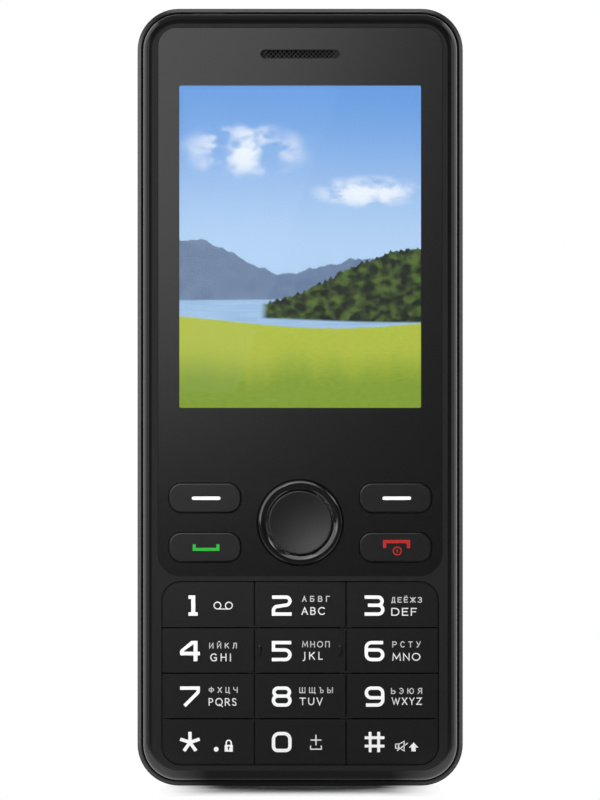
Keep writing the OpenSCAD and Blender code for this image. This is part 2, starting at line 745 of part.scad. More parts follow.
module speaker_gasket() {
  color("#1d1d1f") place() difference() {
    slab(z_rear_in, z_rear_in + 0.2) translate([0, speaker_y]) circle(speaker_r);
    slab(z_rear_in - 1, z_rear_in + 1) translate([0, speaker_y]) circle(speaker_r - 1.4);
  }
}

module motor_can() {
  color("#a9acaf") place() difference() {
    union() {
      rod(motor_r, jack_x, motor_z, motor_y, motor_y + motor_l);
      // saddle on the board
      box(2 * motor_r - 1, motor_l - 2, motor_y + motor_l / 2, motor_z, z_board0, jack_x);
    }
    rod(0.42, jack_x, motor_z, motor_y - 1, motor_y + 3.2);
  }
}

module motor_weight() {
  color("#8d8f92") place() union() {
    rod(0.36, jack_x, motor_z, motor_y - 3.4, motor_y + 3);
    translate([jack_x, motor_y - 0.4, motor_z]) rotate([90, 0, 0])
      linear_extrude(3) difference() {
        circle(weight_r);
        translate([-weight_r - 1, 0.45]) square([2 * weight_r + 2, weight_r]);
      }
  }
}

module camera_module() {
  base_z = z_board0 - 2.6;
  color("#2a2c30") place() difference() {
    union() {
      box(camera_base, camera_base, camera_y, base_z, z_board0);
      translate([0, camera_y, z_rear0 + 1.4]) cylinder(h = base_z - z_rear0 - 1.3, r = camera_r * 0.9);
      translate([0, camera_y, z_rear0 + 0.3]) cylinder(h = 1.2, r = camera_r * 0.72);
    }
    translate([0, camera_y, z_rear0]) cylinder(h = 0.8, r1 = camera_r * 0.62, r2 = camera_r * 0.3);
    translate([0, camera_y, z_rear0 + 0.7]) cylinder(h = 0.8, r = camera_r * 0.25);
  }
}

module flash_lamp() {
  color("#e8e2b4") place() {
    box(2.4, 2.4, camera_y, z_rear_in + 0.8, z_board0, flash_off);
    translate([flash_off, camera_y, z_rear0 + 0.2]) cylinder(h = 1.8, r = flash_r * 0.72);
  }
}

module antenna() {
  strip = 0.12;
  run = inner_w - 2 * antenna_side;
  ant_y = (camera_y + camera_r + 1 + body_h - edge_in - back_edge_r) / 2;
  ant_h = body_h - edge_in - back_edge_r - camera_y - camera_r - 1.4;
  color("#b98a45") place() difference() {
    slab(z_rear0 - strip, z_rear0) round_rect(run, ant_h, 0.6, ant_y);
    for (k = [-3:3])
      box(0.8, ant_h - 1.4, ant_y + (k % 2 == 0 ? 1 : -1), z_rear0 - 1, z_rear0 + 1, k * run / 8);
  }
}

module rear_housing() {
  upper_low = sim_low + sim_h;
  color("#232426") place() difference() {
    union() {
      difference() {
        translate([0, mid_y, z_rear0])
          soft_block(frame_w, frame_h, frame_r, z_board0 - z_rear0,
                     max(0.3, back_edge_r - cover_back - cover_gap), 0);
        slab(z_rear_in, z_board0 + 1) round_rect(inner_w, inner_h, inner_r, mid_y);
      }
      // battery tub and card frame
      box(bay_w + 2 * bay_wall, bay_h + 2 * bay_wall, bay_y, z_rear0 + 0.4, z_floor1);
      box(sim_w + 2 * bay_wall, upper_low + bay_wall - bay_top, (upper_low + bay_wall + bay_top) / 2,
          z_rear0 + 0.4, z_floor1);
      // screw columns and board posts
      slab(z_rear0 + 0.4, z_board0) boss_shape(column_r);
      for (s = [-1, 1]) {
        translate([s * (board_w / 2 - 3), battery_low + battery_h * 0.25, z_floor1 - 0.1])
          cylinder(h = part_room + 0.1, r = 1.2);
        translate([s * (board_w / 2 - 3), battery_low + battery_h * 0.75, z_floor1 - 0.1])
          cylinder(h = part_room + 0.1, r = 1.2);
        translate([s * 9, speaker_y + speaker_r + 4, z_rear_in - 0.1])
          cylinder(h = z_board0 - z_rear_in + 0.1, r = 1.3);
      }
    }
    box(bay_w, bay_h, bay_y, z_rear0 - 1, z_floor0);
    box(sim_w, sim_h, sim_y, z_rear0 - 1, z_board0 + 1);
    box(plug_w + 2 * seat, plug_d + 1.2 + bay_wall, plug_y + (plug_d - bay_wall) / 2,
        z_rear0 - 1, z_board0 + 1);
    slab(z_rear0 - 1, z_head) boss_shape(screw_r + 0.8);
    slab(z_rear0 - 1, z_board0 + 1) boss_shape(screw_r + 0.1);
    translate([0, camera_y, z_rear0 - 1]) cylinder(h = 3, r = camera_r + 0.1);
    translate([flash_off, camera_y, z_rear0 - 1]) cylinder(h = 3, r = flash_r + 0.1);
    translate([0, speaker_y, z_rear0 - 1]) cylinder(h = 3, r = speaker_r - 1.4);
    rod(jack_r + 0.25, -jack_x, jack_z, inner_top - 0.5, body_h);
    box(usb_w + 2 * seat, 4, edge_in + 0.6, usb_z - usb_h / 2 - seat, z_board0 + 1);
    rod(0.5, mic_x, z_mic, edge_in - 1, inner_low + 0.5);
  }
}

module housing_screws() {
  z_tip = z_plate0 - 0.9;
  color("#8e9194") place() for (p = spots) translate([p[0], p[1], 0]) difference() {
    union() {
      translate([0, 0, z_head - 0.9]) cylinder(h = 0.9, r = screw_r + 0.7);
      translate([0, 0, z_head - 0.1]) cylinder(h = z_tip - z_head + 0.1, r = screw_r);
    }
    for (a = [0, 90]) rotate([0, 0, a])
      translate([-0.8, -0.16, z_head - 1.5]) cube([1.6, 0.32, 1]);
  }
}

// cell of one number key, open towards the field's outer edge
module key_cell(col, row) {
  h = key_gap / 2;
  x0 = col == -1 ? -keypad_w : col * key_pitch_x - key_pitch_x / 2 + h;
  x1 = col == 1 ? keypad_w : col * key_pitch_x + key_pitch_x / 2 - h;
  y0 = row == 0 ? -2 * keypad_low : keypad_low + row * key_pitch_y + h;
  y1 = row == 3 ? keypad_low + keypad_h + keypad_low : keypad_low + (row + 1) * key_pitch_y - h;
  translate([x0, y0]) square([x1 - x0, y1 - y0]);
}

module num_key(col, row) {
  color("#2f3033") place() union() {
    slab(z_plate0, front_z + key_proud) intersection() {
      key_cell(col, row);
      keypad_shape(0);
    }
    slab(z_plate0, z_plate0 + flange_t) intersection() {
      key_cell(col, row);
      keypad_shape(flange_out);
    }
    children();
  }
}

// raised ridge to find key 5 by touch
module ridge(x, y) {
  r = ridge_w / 2;
  run = ridge_l - ridge_w;
  translate([x, y - run / 2, front_z + key_proud + ridge_proud - r]) rotate([-90, 0, 0]) rotate_extrude()
    intersection() {
      union() {
        square([r, run]);
        circle(r);
        translate([0, run]) circle(r);
      }
      translate([0, -r]) square([r, run + 2 * r]);
    }
}

module key_1() num_key(-1, 3);
module key_2() num_key(0, 3);
module key_3() num_key(1, 3);
module key_4() num_key(-1, 2);
module key_5() num_key(0, 2) for (s = [-1, 1]) ridge(s * ridge_x, keypad_low + 2.5 * key_pitch_y);
module key_6() num_key(1, 2);
module key_7() num_key(-1, 1);
module key_8() num_key(0, 1);
module key_9() num_key(1, 1);
module key_star() num_key(-1, 0);
module key_0() num_key(0, 0);
module key_hash() num_key(1, 0);

module fn_key(sx, sy) {
  color("#323437") place() translate([sx * fn_x, nav_y + sy * fn_pitch / 2, 0]) {
    translate([0, 0, z_fn0])
      soft_block(fn_w, fn_h, fn_r, front_z + fn_proud - z_fn0, 0, fn_edge_r);
    slab(z_fn0, z_fn0 + flange_t)
      round_rect(fn_w + 2 * flange_out, fn_h + 2 * flange_out, fn_r + flange_out);
  }
}

module soft_key_left() fn_key(-1, 1);
module soft_key_right() fn_key(1, 1);
module call_key() fn_key(-1, -1);
module end_key() fn_key(1, -1);

module ok_key() {
  r = nav_in_r - nav_gap;
  top = front_z + ok_proud;
  a = r - 2 * ok_edge_r;
  ball = (a * a + ok_dish * ok_dish) / (2 * ok_dish);
  color("#35373a") place() translate([0, nav_y, 0]) difference() {
    rotate_extrude() {
      translate([0, z_ok0]) square([r, top - z_ok0 - ok_edge_r]);
      translate([0, z_ok0]) square([r - ok_edge_r, top - z_ok0]);
      translate([r - ok_edge_r, top - ok_edge_r]) circle(ok_edge_r);
    }
    translate([0, 0, top + ball - ok_dish]) rotate([90, 0, 0]) sphere(ball, $fn = 256);
  }
}

module nav_ring() {
  crest_r = nav_r - ring_edge_r;
  z_edge = overall_t - ring_edge_r;
  z_slope = overall_t - ring_slope_r;
  color("#141516") place() translate([0, nav_y, 0]) rotate_extrude() {
    translate([nav_in_r, z_ring0]) square([crest_r - nav_in_r, z_slope - z_ring0]);
    intersection() {
      translate([crest_r, z_slope]) circle(ring_slope_r);
      translate([nav_in_r, z_slope]) square([crest_r - nav_in_r, ring_slope_r]);
    }
    translate([crest_r, z_ring0]) square([ring_edge_r, z_edge - z_ring0]);
    intersection() {
      translate([crest_r, z_edge]) circle(ring_edge_r);
      translate([crest_r, z_edge]) square(ring_edge_r);
    }
    translate([nav_in_r, z_ring0]) square([nav_r + flange_out - nav_in_r, flange_t]);
  }
}

module nav_rocker() {
  color("#d9d9d6") place() difference() {
    slab(z_mat1, z_mat1 + rocker_t) difference() {
      translate([0, nav_y]) circle(nav_r + flange_out);
      translate([0, nav_y]) circle(nav_in_r * 0.6 + 0.8);
    }
    for (a = [45, 135, 225, 315])
      translate([nav_mid_r * cos(a), nav_y + nav_mid_r * sin(a), z_mat1 - 1]) cylinder(h = 3, r = 0.8);
  }
}

module battery_cell() {
  color("#3f4246") place() translate([0, bay_y - battery_cap_h / 2, z_cell0])
    soft_block(battery_w, battery_h - battery_cap_h, 1.2, battery_t, 0.5, 0.5);
}

module battery_cap() {
  cap_y = battery_low + battery_h - battery_cap_h / 2;
  color("#1b1c1e") place() difference() {
    box(battery_w, battery_cap_h, cap_y, z_cell0, z_cell1);
    for (k = [-1, 0, 1]) box(2, 0.5, battery_low + battery_h, z_cell0 + 1, z_cell0 + 3.4, k * contact_pitch);
    // finger notch at the top edge
    translate([battery_w / 2 - 7, battery_low + battery_h, z_cell0 - 1]) cylinder(h = 2, r = 2.2);
  }
}

module battery_terminals() {
  color("#d3b25a") place() for (k = [-1, 0, 1])
    box(2, 0.2, battery_low + battery_h - 0.15, z_cell0 + 1, z_cell0 + 3.4, k * contact_pitch);
}

module rear_cover() {
  color("#2a2b2d") place() union() {
    difference() {
      translate([0, mid_y, 0])
        soft_block(body_w, body_h, corner_r, cover_depth, back_edge_r, 0, rim_bevel);
      translate([0, mid_y, cover_back])
        soft_block(body_w - 2 * cover_wall, body_h - 2 * cover_wall, corner_r - cover_wall,
                   cover_depth, back_edge_r - cover_back, 0);
      translate([0, camera_y, -1]) cylinder(h = 1.6, r = camera_r + fit);
      translate([0, camera_y, -1]) cylinder(h = 4, r = camera_r - 0.8);
      translate([flash_off, camera_y, -1]) cylinder(h = 1.6, r = flash_r + fit);
      translate([flash_off, camera_y, -1]) cylinder(h = 4, r = flash_r - 0.5);
      for (k = [0:speaker_slots - 1])
        slab(-1, cover_back + 1)
          translate([0, speaker_y + (k - (speaker_slots - 1) / 2) * slot_pitch]) stadium(slot_l, 0.9);
      rod(jack_r + 1.1, -jack_x, jack_z, body_h - 3, body_h + 1);
      translate([0, 3, usb_z]) rotate([90, 0, 0]) linear_extrude(5) stadium(usb_w + 1.8, usb_h + 1);
      rod(0.6, mic_x, z_mic, -1, 2);
    }
    // snap ribs inside the rim
    for (s = [-1, 1], y = [0.2, 0.5, 0.8])
      box(0.3, 8, body_h * y, cover_depth - 1.9, cover_depth - 1.2, s * (body_w / 2 - cover_wall - 0.05));
    for (y = [cover_wall + 0.05, body_h - cover_wall - 0.05], x = [-9, 9])
      box(6, 0.3, y, cover_depth - 1.3, cover_depth - 0.8, x);
  }
}

module camera_window() {
  color("#0d0f12") place() translate([0, camera_y, 0.1]) cylinder(h = 0.5, r = camera_r);
}

module flash_window() {
  color("#efe9cf") place() translate([flash_off, camera_y, 0.1]) cylinder(h = 0.5, r = flash_r);
}

module speaker_mesh() {
  color("#17181a") place() translate([0, speaker_y, cover_back]) cylinder(h = 0.15, r = speaker_r - 1.8);
}

front_housing();
front_panel();
panel_tape();
display_window();
earpiece_mesh();
earpiece();
earpiece_gasket();
display_gasket();
lcd_glass();
lcd_tray();
light_guide();
lcd_flex();
keypad_mat();
dome_sheet();
main_board();
shield_cans();
sim_sockets();
card_socket();
battery_plug();
usb_socket();
headphone_jack();
microphone();
loudspeaker();
speaker_gasket();
motor_can();
camera_module();
flash_lamp();
antenna();
rear_housing();
housing_screws();
key_1();
key_2();
key_3();
key_4();
key_5();
key_6();
key_7();
key_8();
key_9();
key_star();
key_0();
key_hash();
soft_key_left();
soft_key_right();
call_key();
end_key();
ok_key();
nav_ring();
nav_rocker();
motor_weight();
battery_cell();
battery_cap();
battery_terminals();
rear_cover();
camera_window();
flash_window();
speaker_mesh();
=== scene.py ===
import json
import math

import bpy
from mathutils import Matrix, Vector
from mathutils.geometry import delaunay_2d_cdt


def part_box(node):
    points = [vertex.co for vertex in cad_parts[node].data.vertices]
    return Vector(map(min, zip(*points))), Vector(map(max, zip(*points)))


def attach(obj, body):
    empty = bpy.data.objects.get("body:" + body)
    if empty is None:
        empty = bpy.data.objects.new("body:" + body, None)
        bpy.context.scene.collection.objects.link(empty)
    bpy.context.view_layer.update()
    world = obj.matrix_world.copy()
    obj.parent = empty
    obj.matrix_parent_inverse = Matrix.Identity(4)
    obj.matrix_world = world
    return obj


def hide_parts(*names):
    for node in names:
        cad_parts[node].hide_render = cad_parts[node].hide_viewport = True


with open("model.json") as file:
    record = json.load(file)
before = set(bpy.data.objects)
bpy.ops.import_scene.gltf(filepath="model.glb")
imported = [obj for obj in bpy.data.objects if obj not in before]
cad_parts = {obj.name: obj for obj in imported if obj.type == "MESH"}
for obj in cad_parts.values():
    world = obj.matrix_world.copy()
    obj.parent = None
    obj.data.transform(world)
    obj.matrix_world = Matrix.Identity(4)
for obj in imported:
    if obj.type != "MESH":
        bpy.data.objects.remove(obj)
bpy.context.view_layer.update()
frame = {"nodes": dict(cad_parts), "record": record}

nodes = frame["nodes"]
MM = 0.001
# colour sockets of the Mix node
MIX_A, MIX_B, MIX_RESULT = 6, 7, 2
# most values of a noise texture lie between these
NOISE_BAND = (0.3, 0.7)
# scale of the patches and strength of the grain on every surface
PATCH_SCALE = 180
GRAIN_BUMP = 0.35
# the display's lit area
LIT_HALF_WIDTH = 21.6 * MM
LIT_FOOT = 67.6 * MM
LIT_HEAD = 125.2 * MM
scene = bpy.context.scene
scene.view_settings.view_transform = "Standard"


def link(obj):
    scene.collection.objects.link(obj)
    return obj


class Shader:
    """A procedural material whose textures follow the piece."""

    def __init__(self, name):
        self.mat = bpy.data.materials.new(name)
        self.mat.use_nodes = True
        self.tree = self.mat.node_tree
        self.bsdf = self.tree.nodes["Principled BSDF"]
        self.place = self.add("ShaderNodeTexCoord").outputs["Object"]

    def add(self, kind, **props):
        node = self.tree.nodes.new(kind)
        for key, val in props.items():
            setattr(node, key, val)
        return node

    def feed(self, socket, val):
        if isinstance(val, bpy.types.NodeSocket):
            self.tree.links.new(val, socket)
        else:
            socket.default_value = val

    def set(self, **sockets):
        for key, val in sockets.items():
            self.feed(self.bsdf.inputs[key.replace("_", " ")], val)

    def noise(self, scale, detail=2.0, stretch=(1, 1, 1), place=None):
        mapping = self.add("ShaderNodeMapping")
        mapping.inputs["Scale"].default_value = stretch
        self.feed(mapping.inputs["Vector"], place or self.place)
        node = self.add("ShaderNodeTexNoise")
        node.inputs["Scale"].default_value = scale
        node.inputs["Detail"].default_value = detail
        self.feed(node.inputs["Vector"], mapping.outputs[0])
        return node.outputs["Fac"]

    def math(self, op, *args):
        node = self.add("ShaderNodeMath", operation=op)
        for socket, val in zip(node.inputs, args):
            self.feed(socket, val)
        return node.outputs[0]

    def ramp(self, val, lo, hi, out_lo=0.0, out_hi=1.0, kind="LINEAR"):
        node = self.add("ShaderNodeMapRange", interpolation_type=kind)
        for socket, item in zip(node.inputs, (val, lo, hi, out_lo, out_hi)):
            self.feed(socket, item)
        return node.outputs[0]

    def mix(self, fac, a, b):
        node = self.add("ShaderNodeMix", data_type="RGBA")
        self.feed(node.inputs["Factor"], fac)
        self.feed(node.inputs[MIX_A], a)
        self.feed(node.inputs[MIX_B], b)
        return node.outputs[MIX_RESULT]

    def bump(self, height, strength, depth):
        node = self.add("ShaderNodeBump")
        node.inputs["Strength"].default_value = strength
        node.inputs["Distance"].default_value = depth
        self.feed(node.inputs["Height"], height)
        self.set(Normal=node.outputs["Normal"])


def tint(colour, k):
    return tuple(min(1.0, c * k) for c in colour) + (1.0,)


def surface(name, colour, rough, grain, depth, vary=0.12, spread=0.06, stretch=(1, 1, 1), **sockets):
    """Grained surface: the tone drifts in patches, a fine grain varies the roughness and gives the bump."""
    sh = Shader(name)
    patch = sh.ramp(sh.noise(PATCH_SCALE, 3.0), *NOISE_BAND)
    fine = sh.noise(grain, 2.0, stretch)
    sh.set(Base_Color=sh.mix(patch, tint(colour, 1 - vary), tint(colour, 1 + vary)))
    sh.set(Roughness=sh.ramp(fine, *NOISE_BAND, rough - spread, rough + spread))
    sh.bump(fine, GRAIN_BUMP, depth)
    sh.set(**sockets)
    return sh.mat


def picture():
    """Lit display: hills and a lake under a part-clouded sky, drawn over u and v from 0 to 1."""
    sh = Shader("display_picture")
    split = sh.add("ShaderNodeSeparateXYZ")
    sh.feed(split.inputs[0], sh.place)
    u = sh.ramp(split.outputs["X"], -LIT_HALF_WIDTH, LIT_HALF_WIDTH)
    v = sh.ramp(split.outputs["Z"], LIT_FOOT, LIT_HEAD)
    spot = sh.add("ShaderNodeCombineXYZ")
    sh.feed(spot.inputs["X"], u)
    sh.feed(spot.inputs["Y"], v)
    spot = spot.outputs[0]

    def soft(val, lo, hi):
        return sh.ramp(val, lo, hi, kind="SMOOTHSTEP")

    def wave(freq, phase, size):
        return sh.math("MULTIPLY", sh.math("SINE", sh.math("MULTIPLY_ADD", u, freq, phase)), size)

    def line(base, *parts):
        height = parts[0]
        for part in parts[1:]:
            height = sh.math("ADD", height, part)
        return sh.math("ADD", height, base)

    def rough_edge(scale, size):
        drift = sh.noise(scale, 3.0, (1, 0, 1), spot)
        return sh.math("MULTIPLY", sh.math("SUBTRACT", drift, 0.5), size)

    def below(height, blur=0.006):
        return soft(sh.math("SUBTRACT", height, v), 0.0, blur)

    def puff(cu, cv, wide, tall):
        du = sh.math("DIVIDE", sh.math("SUBTRACT", u, cu), wide)
        dv = sh.math("DIVIDE", sh.math("SUBTRACT", v, cv), tall)
        far = sh.math("ADD", sh.math("POWER", du, 2.0), sh.math("POWER", dv, 2.0))
        return soft(far, 1.0, 0.0)

    # sky and clouds
    sky = sh.mix(soft(v, 0.45, 1.0), (0.44, 0.63, 0.88, 1), (0.13, 0.33, 0.73, 1))
    cover = sh.math("MAXIMUM", puff(0.27, 0.80, 0.30, 0.10), puff(0.78, 0.67, 0.26, 0.06))
    cloud = sh.math("MULTIPLY", cover, soft(sh.noise(9, 6.0, (1, 2.1, 1), spot), 0.38, 0.62))
    sky = sh.mix(cloud, sky, (0.82, 0.88, 0.97, 1))

    # far hills
    far_line = line(0.475, wave(5.0, 2.0, 0.045), wave(11.0, 0.4, 0.018), rough_edge(16, 0.05))
    far_tone = sh.mix(sh.noise(14, 5.0, (1, 1.6, 1), spot), (0.07, 0.12, 0.24, 1), (0.21, 0.30, 0.44, 1))
    view = sh.mix(below(far_line), sky, far_tone)

    # lake
    lake = sh.mix(sh.noise(6, 3.0, (1, 26, 1), spot), (0.18, 0.36, 0.62, 1), (0.48, 0.66, 0.86, 1))
    view = sh.mix(below(line(0.335, wave(2.0, 0.5, 0.004))), view, lake)

    # wood on the right-hand shore
    rise = sh.math("MULTIPLY", soft(u, 0.30, 0.98), 0.17)
    wood_line = line(0.325, rise, rough_edge(46, 0.05), rough_edge(13, 0.03))
    wood_low = sh.math("SUBTRACT", v, line(0.268, wave(4.0, 1.0, 0.008)))
    wood = sh.math("MULTIPLY", below(wood_line, 0.004), soft(wood_low, 0.0, 0.01))
    wood = sh.math("MULTIPLY", wood, soft(u, 0.33, 0.37))
    leaf = soft(sh.noise(21, 9.0, (1, 1.5, 1), spot), 0.40, 0.70)
    view = sh.mix(wood, view, sh.mix(leaf, (0.004, 0.010, 0.003, 1), (0.085, 0.150, 0.020, 1)))

    # field in front
    field_line = line(0.272, wave(3.6, 2.4, 0.022), rough_edge(30, 0.008))
    blade = sh.noise(40, 5.0, (1, 4.5, 1), spot)
    near = sh.mix(blade, (0.12, 0.24, 0.014, 1), (0.30, 0.42, 0.030, 1))
    sunny = sh.mix(blade, (0.33, 0.42, 0.026, 1), (0.50, 0.56, 0.060, 1))
    band = soft(sh.math("ADD", v, rough_edge(5, 0.16)), 0.06, 0.20)
    view = sh.mix(below(field_line), view, sh.mix(band, near, sunny))

    sh.set(Base_Color=(0.004, 0.004, 0.005, 1), Emission_Color=view, Emission_Strength=1.0)
    sh.set(Specular_IOR_Level=0.1, Roughness=sh.ramp(sh.noise(900), *NOISE_BAND, 0.3, 0.4))
    return sh.mat


def clear(name, colour, ior):
    """Clear plastic with a polished face."""
    sh = Shader(name)
    sh.set(Base_Color=tint(colour, 1.0), Transmission_Weight=1.0, IOR=ior)
    sh.set(Roughness=sh.ramp(sh.noise(400), *NOISE_BAND, 0.0, 0.02))
    sh.bump(sh.noise(90), 0.02, 0.002 * MM)
    return sh.mat


# a look is a name, a colour, a roughness, a grain's scale and its depth
LOOKS = {
    "housing_plastic": surface("housing", (0.006, 0.006, 0.0063), 0.22, 7000, 0.002 * MM, spread=0.03,
                               Specular_IOR_Level=0.75),
    "panel_plastic": surface("panel", (0.002, 0.002, 0.0021), 0.247, 9000, 0.002 * MM, spread=0.03,
                             Specular_IOR_Level=0.32),
    "key_plastic": surface("keys", (0.002, 0.002, 0.0021), 0.33, 8000, 0.002 * MM, spread=0.04,
                           Specular_IOR_Level=0.42),
    "ok_plastic": surface("ok", (0.002, 0.002, 0.0021), 0.40, 8000, 0.002 * MM, spread=0.04,
                          Specular_IOR_Level=0.58),
    "ear_cloth": surface("ear_cloth", (0.003, 0.003, 0.003), 0.9, 2600, 0.020 * MM, Specular_IOR_Level=0.05),
    "ring_plastic": surface("ring", (0.003, 0.003, 0.003), 0.12, 3000, 0.001 * MM, spread=0.02,
                            Specular_IOR_Level=0.8),
    "cover_plastic": surface("cover", (0.014, 0.014, 0.0145), 0.38, 5200, 0.006 * MM),
    "clear_pane": clear("pane", (0.98, 0.99, 1.0), 1.1),
    "cell_glass": picture(),
    "lens_glass": clear("lens", (0.12, 0.13, 0.16), 1.2),
    "flash_lens": surface("flash", (0.80, 0.74, 0.50), 0.3, 2400, 0.020 * MM, Coat_Weight=0.4),
    "guide_acrylic": surface("guide", (0.78, 0.80, 0.83), 0.2, 2600, 0.006 * MM, Transmission_Weight=0.4),
    "sheet_steel": surface("tinned", (0.56, 0.57, 0.59), 0.34, 1500, 0.004 * MM, stretch=(1, 1, 14),
                           Metallic=1.0),
    "screw_steel": surface("plated", (0.42, 0.43, 0.44), 0.3, 2600, 0.004 * MM, Metallic=1.0),
    "mesh_steel": surface("mesh", (0.07, 0.07, 0.073), 0.42, 5000, 0.002 * MM, Metallic=0.9),
    "foam": surface("foam", (0.020, 0.020, 0.022), 0.9, 2600, 0.040 * MM),
    "silicone": surface("silicone", (0.035, 0.035, 0.037), 0.6, 1800, 0.006 * MM, Subsurface_Weight=0.05),
    "dome_film": surface("film", (0.58, 0.59, 0.61), 0.28, 1600, 0.003 * MM, Coat_Weight=0.3),
    "board_laminate": surface("laminate", (0.016, 0.095, 0.045), 0.36, 900, 0.008 * MM, vary=0.25),
    "flex_film": surface("flex", (0.42, 0.19, 0.04), 0.34, 1300, 0.004 * MM, vary=0.2),
    "part_plastic": surface("moulding", (0.020, 0.020, 0.021), 0.5, 4200, 0.006 * MM),
    "cell_foil": surface("foil", (0.10, 0.105, 0.115), 0.4, 1400, 0.010 * MM, stretch=(1, 1, 4)),
    "contact_metal": surface("contact", (0.72, 0.50, 0.16), 0.26, 2200, 0.003 * MM, Metallic=1.0),
    "rocker_plastic": surface("rocker", (0.60, 0.60, 0.58), 0.5, 3000, 0.006 * MM),
}
# nodes that don't look like the rest of their slot
OWN_LOOK = {"ok_key": "ok_plastic", "earpiece": "ear_cloth"}
for part in frame["record"]["subparts"]:
    held = nodes[part["node"]].data.materials
    held.clear()
    held.append(LOOKS[OWN_LOOK.get(part["node"], part["material_slot"])])


# printed ink with a faint emission, a painted glow that keeps the print bright whatever the lamps give
def print_with_painted_glow(name, colour, glow):
    return surface(name, colour, 0.5, 6000, 0.002 * MM, vary=0.03,
                   Specular_IOR_Level=0.2, Emission_Color=tint(colour, 1.0), Emission_Strength=glow)


# name, colour and painted glow: a faint emission that lifts the print as painted light
INK = [
    print_with_painted_glow("print_white", (0.84, 0.84, 0.84), 0.10),
    print_with_painted_glow("print_pale", (0.66, 0.66, 0.67), 0.06),
    print_with_painted_glow("print_faint", (0.48, 0.48, 0.49), 0.05),
    print_with_painted_glow("print_green", (0.018, 0.35, 0.036), 0.08),
    print_with_painted_glow("print_red", (0.36, 0.014, 0.012), 0.08),
]
WHITE, PALE, FAINT, GREEN, RED = range(len(INK))

# degrees of an oval, and radians of a fillet, for each straight piece
OVAL_STEP = 15
FILLET_STEP = 0.3
# a turn under this is taken as straight, in radians
STRAIGHT = 0.02
# points nearer than these are one, along a line and at its two ends
SAME_POINT = 1e-6
CLOSED = 1e-4
# least cosine at a mitred joint, so that sharp ones don't shoot out
MITRE = 0.4
# delaunay_2d_cdt's output of the triangles inside the shapes, and its tolerance
INSIDE = 1
FUSED = 1e-5
# the print is sunk in its key by this share of its rise
SUNK = 0.5


def oval(cx, cy, rx, ry, start=0, end=360):
    count = max(5, round(abs(end - start) / OVAL_STEP))
    turns = [math.radians(start + (end - start) * k / count) for k in range(count + 1)]
    return [(cx + rx * math.cos(a), cy + ry * math.sin(a)) for a in turns]


def eased(points):
    """Polyline with filleted corners; a point is (x, y) or (x, y, radius)."""
    out = [Vector(points[0][:2])]
    for before, here, after in zip(points, points[1:], points[2:]):
        p = Vector(here[:2])
        back = Vector(before[:2]) - p
        ahead = Vector(after[:2]) - p
        turn = math.pi - back.angle(ahead)
        if len(here) < 3 or turn < STRAIGHT:
            out.append(p)
            continue
        reach = min(here[2] * math.tan(turn / 2), 0.5 * back.length, 0.5 * ahead.length)
        radius = reach / math.tan(turn / 2)
        a = p + back.normalized() * reach
        b = p + ahead.normalized() * reach
        mid = p + (back.normalized() + ahead.normalized()).normalized() * radius / math.cos(turn / 2)
        count = max(2, round(turn / FILLET_STEP))
        for k in range(count + 1):
            spoke = (a - mid).lerp(b - mid, k / count)
            out.append(mid + spoke.normalized() * radius)
    out.append(Vector(points[-1][:2]))
    return [p for k, p in enumerate(out) if k == 0 or (p - out[k - 1]).length > SAME_POINT]


def stroke(points, width, capped=True):
    """Four-cornered pieces of a stroke along a polyline, with mitred joints."""
    line = eased(points)
    closed = (line[0] - line[-1]).length < CLOSED
    if closed:
        line = line[:-1]
    runs = [(b - a).normalized() for a, b in zip(line, line[1:] + line[:1])]
    if not closed and capped:
        line[0] = line[0] - runs[0] * width / 2
        line[-1] = line[-1] + runs[-2] * width / 2
    sides = []
    for k, p in enumerate(line):
        into, out = runs[k - 1], runs[k]
        if not closed and k == 0:
            into = out
        if not closed and k == len(line) - 1:
            out = into
        normal = Vector((-into.y, into.x))
        joint = (normal + Vector((-out.y, out.x))).normalized()
        reach = width / 2 / max(MITRE, joint.dot(normal))
        sides.append((p + joint * reach, p - joint * reach))
    pairs = list(zip(sides, sides[1:] + sides[:1] if closed else sides[1:]))
    return [[a[0], a[1], b[1], b[0]] for a, b in pairs]


def fuse(shapes, holes=()):
    """Triangles of the union of flat shapes, less the holes."""
    points = [p for shape in [*shapes, *holes] for p in shape]
    faces = []
    at = 0
    for shape in [*shapes, *holes]:
        faces.append(list(range(at, at + len(shape))))
        at += len(shape)
    area = [sum(a.cross(b) for a, b in zip(s, s[1:] + s[:1])) for s in [*shapes, *holes]]
    faces = [f if size > 0 else f[::-1] for f, size in zip(faces, area)]
    flat, _, tris, _, _, source = delaunay_2d_cdt(points, [], faces, INSIDE, FUSED)
    kept = [t for t, src in zip(tris, source) if src and max(src) < len(shapes)]
    return flat, kept


def prism(name, parts, unit, centre, face_y, rise):
    """Thin closed print: flat shapes, in legend units from the key's centre, set on its face."""
    verts = []
    faces = []
    inks = []
    for ink, shapes, holes in parts:
        flat, tris = fuse(shapes, holes)
        used = sorted({k for t in tris for k in t})
        at = {k: len(verts) + i for i, k in enumerate(used)}
        low = len(used)
        for depth in (face_y - rise, face_y + SUNK * rise):
            verts += [(centre[0] + flat[k].x * unit, depth, centre[1] + flat[k].y * unit) for k in used]
        edges = {}
        for t in tris:
            a, b, c = (at[k] for k in t)
            faces += [(a, b, c), (c + low, b + low, a + low)]
            for edge in ((a, b), (b, c), (c, a)):
                edges[edge] = True
        faces += [(b, a, a + low, b + low) for a, b in edges if (b, a) not in edges]
        inks += [ink] * (len(faces) - len(inks))
    mesh = bpy.data.meshes.new(name)
    mesh.from_pydata(verts, [], faces)
    for ink in INK:
        mesh.materials.append(ink)
    mesh.polygons.foreach_set("material_index", inks)
    mesh.validate()
    return link(bpy.data.objects.new(name, mesh))


# corner radius of the letters
R = 0.27
BOWL = [(0, 0.54), (1, 0.54, R), (1, 0, R), (0, 0)]
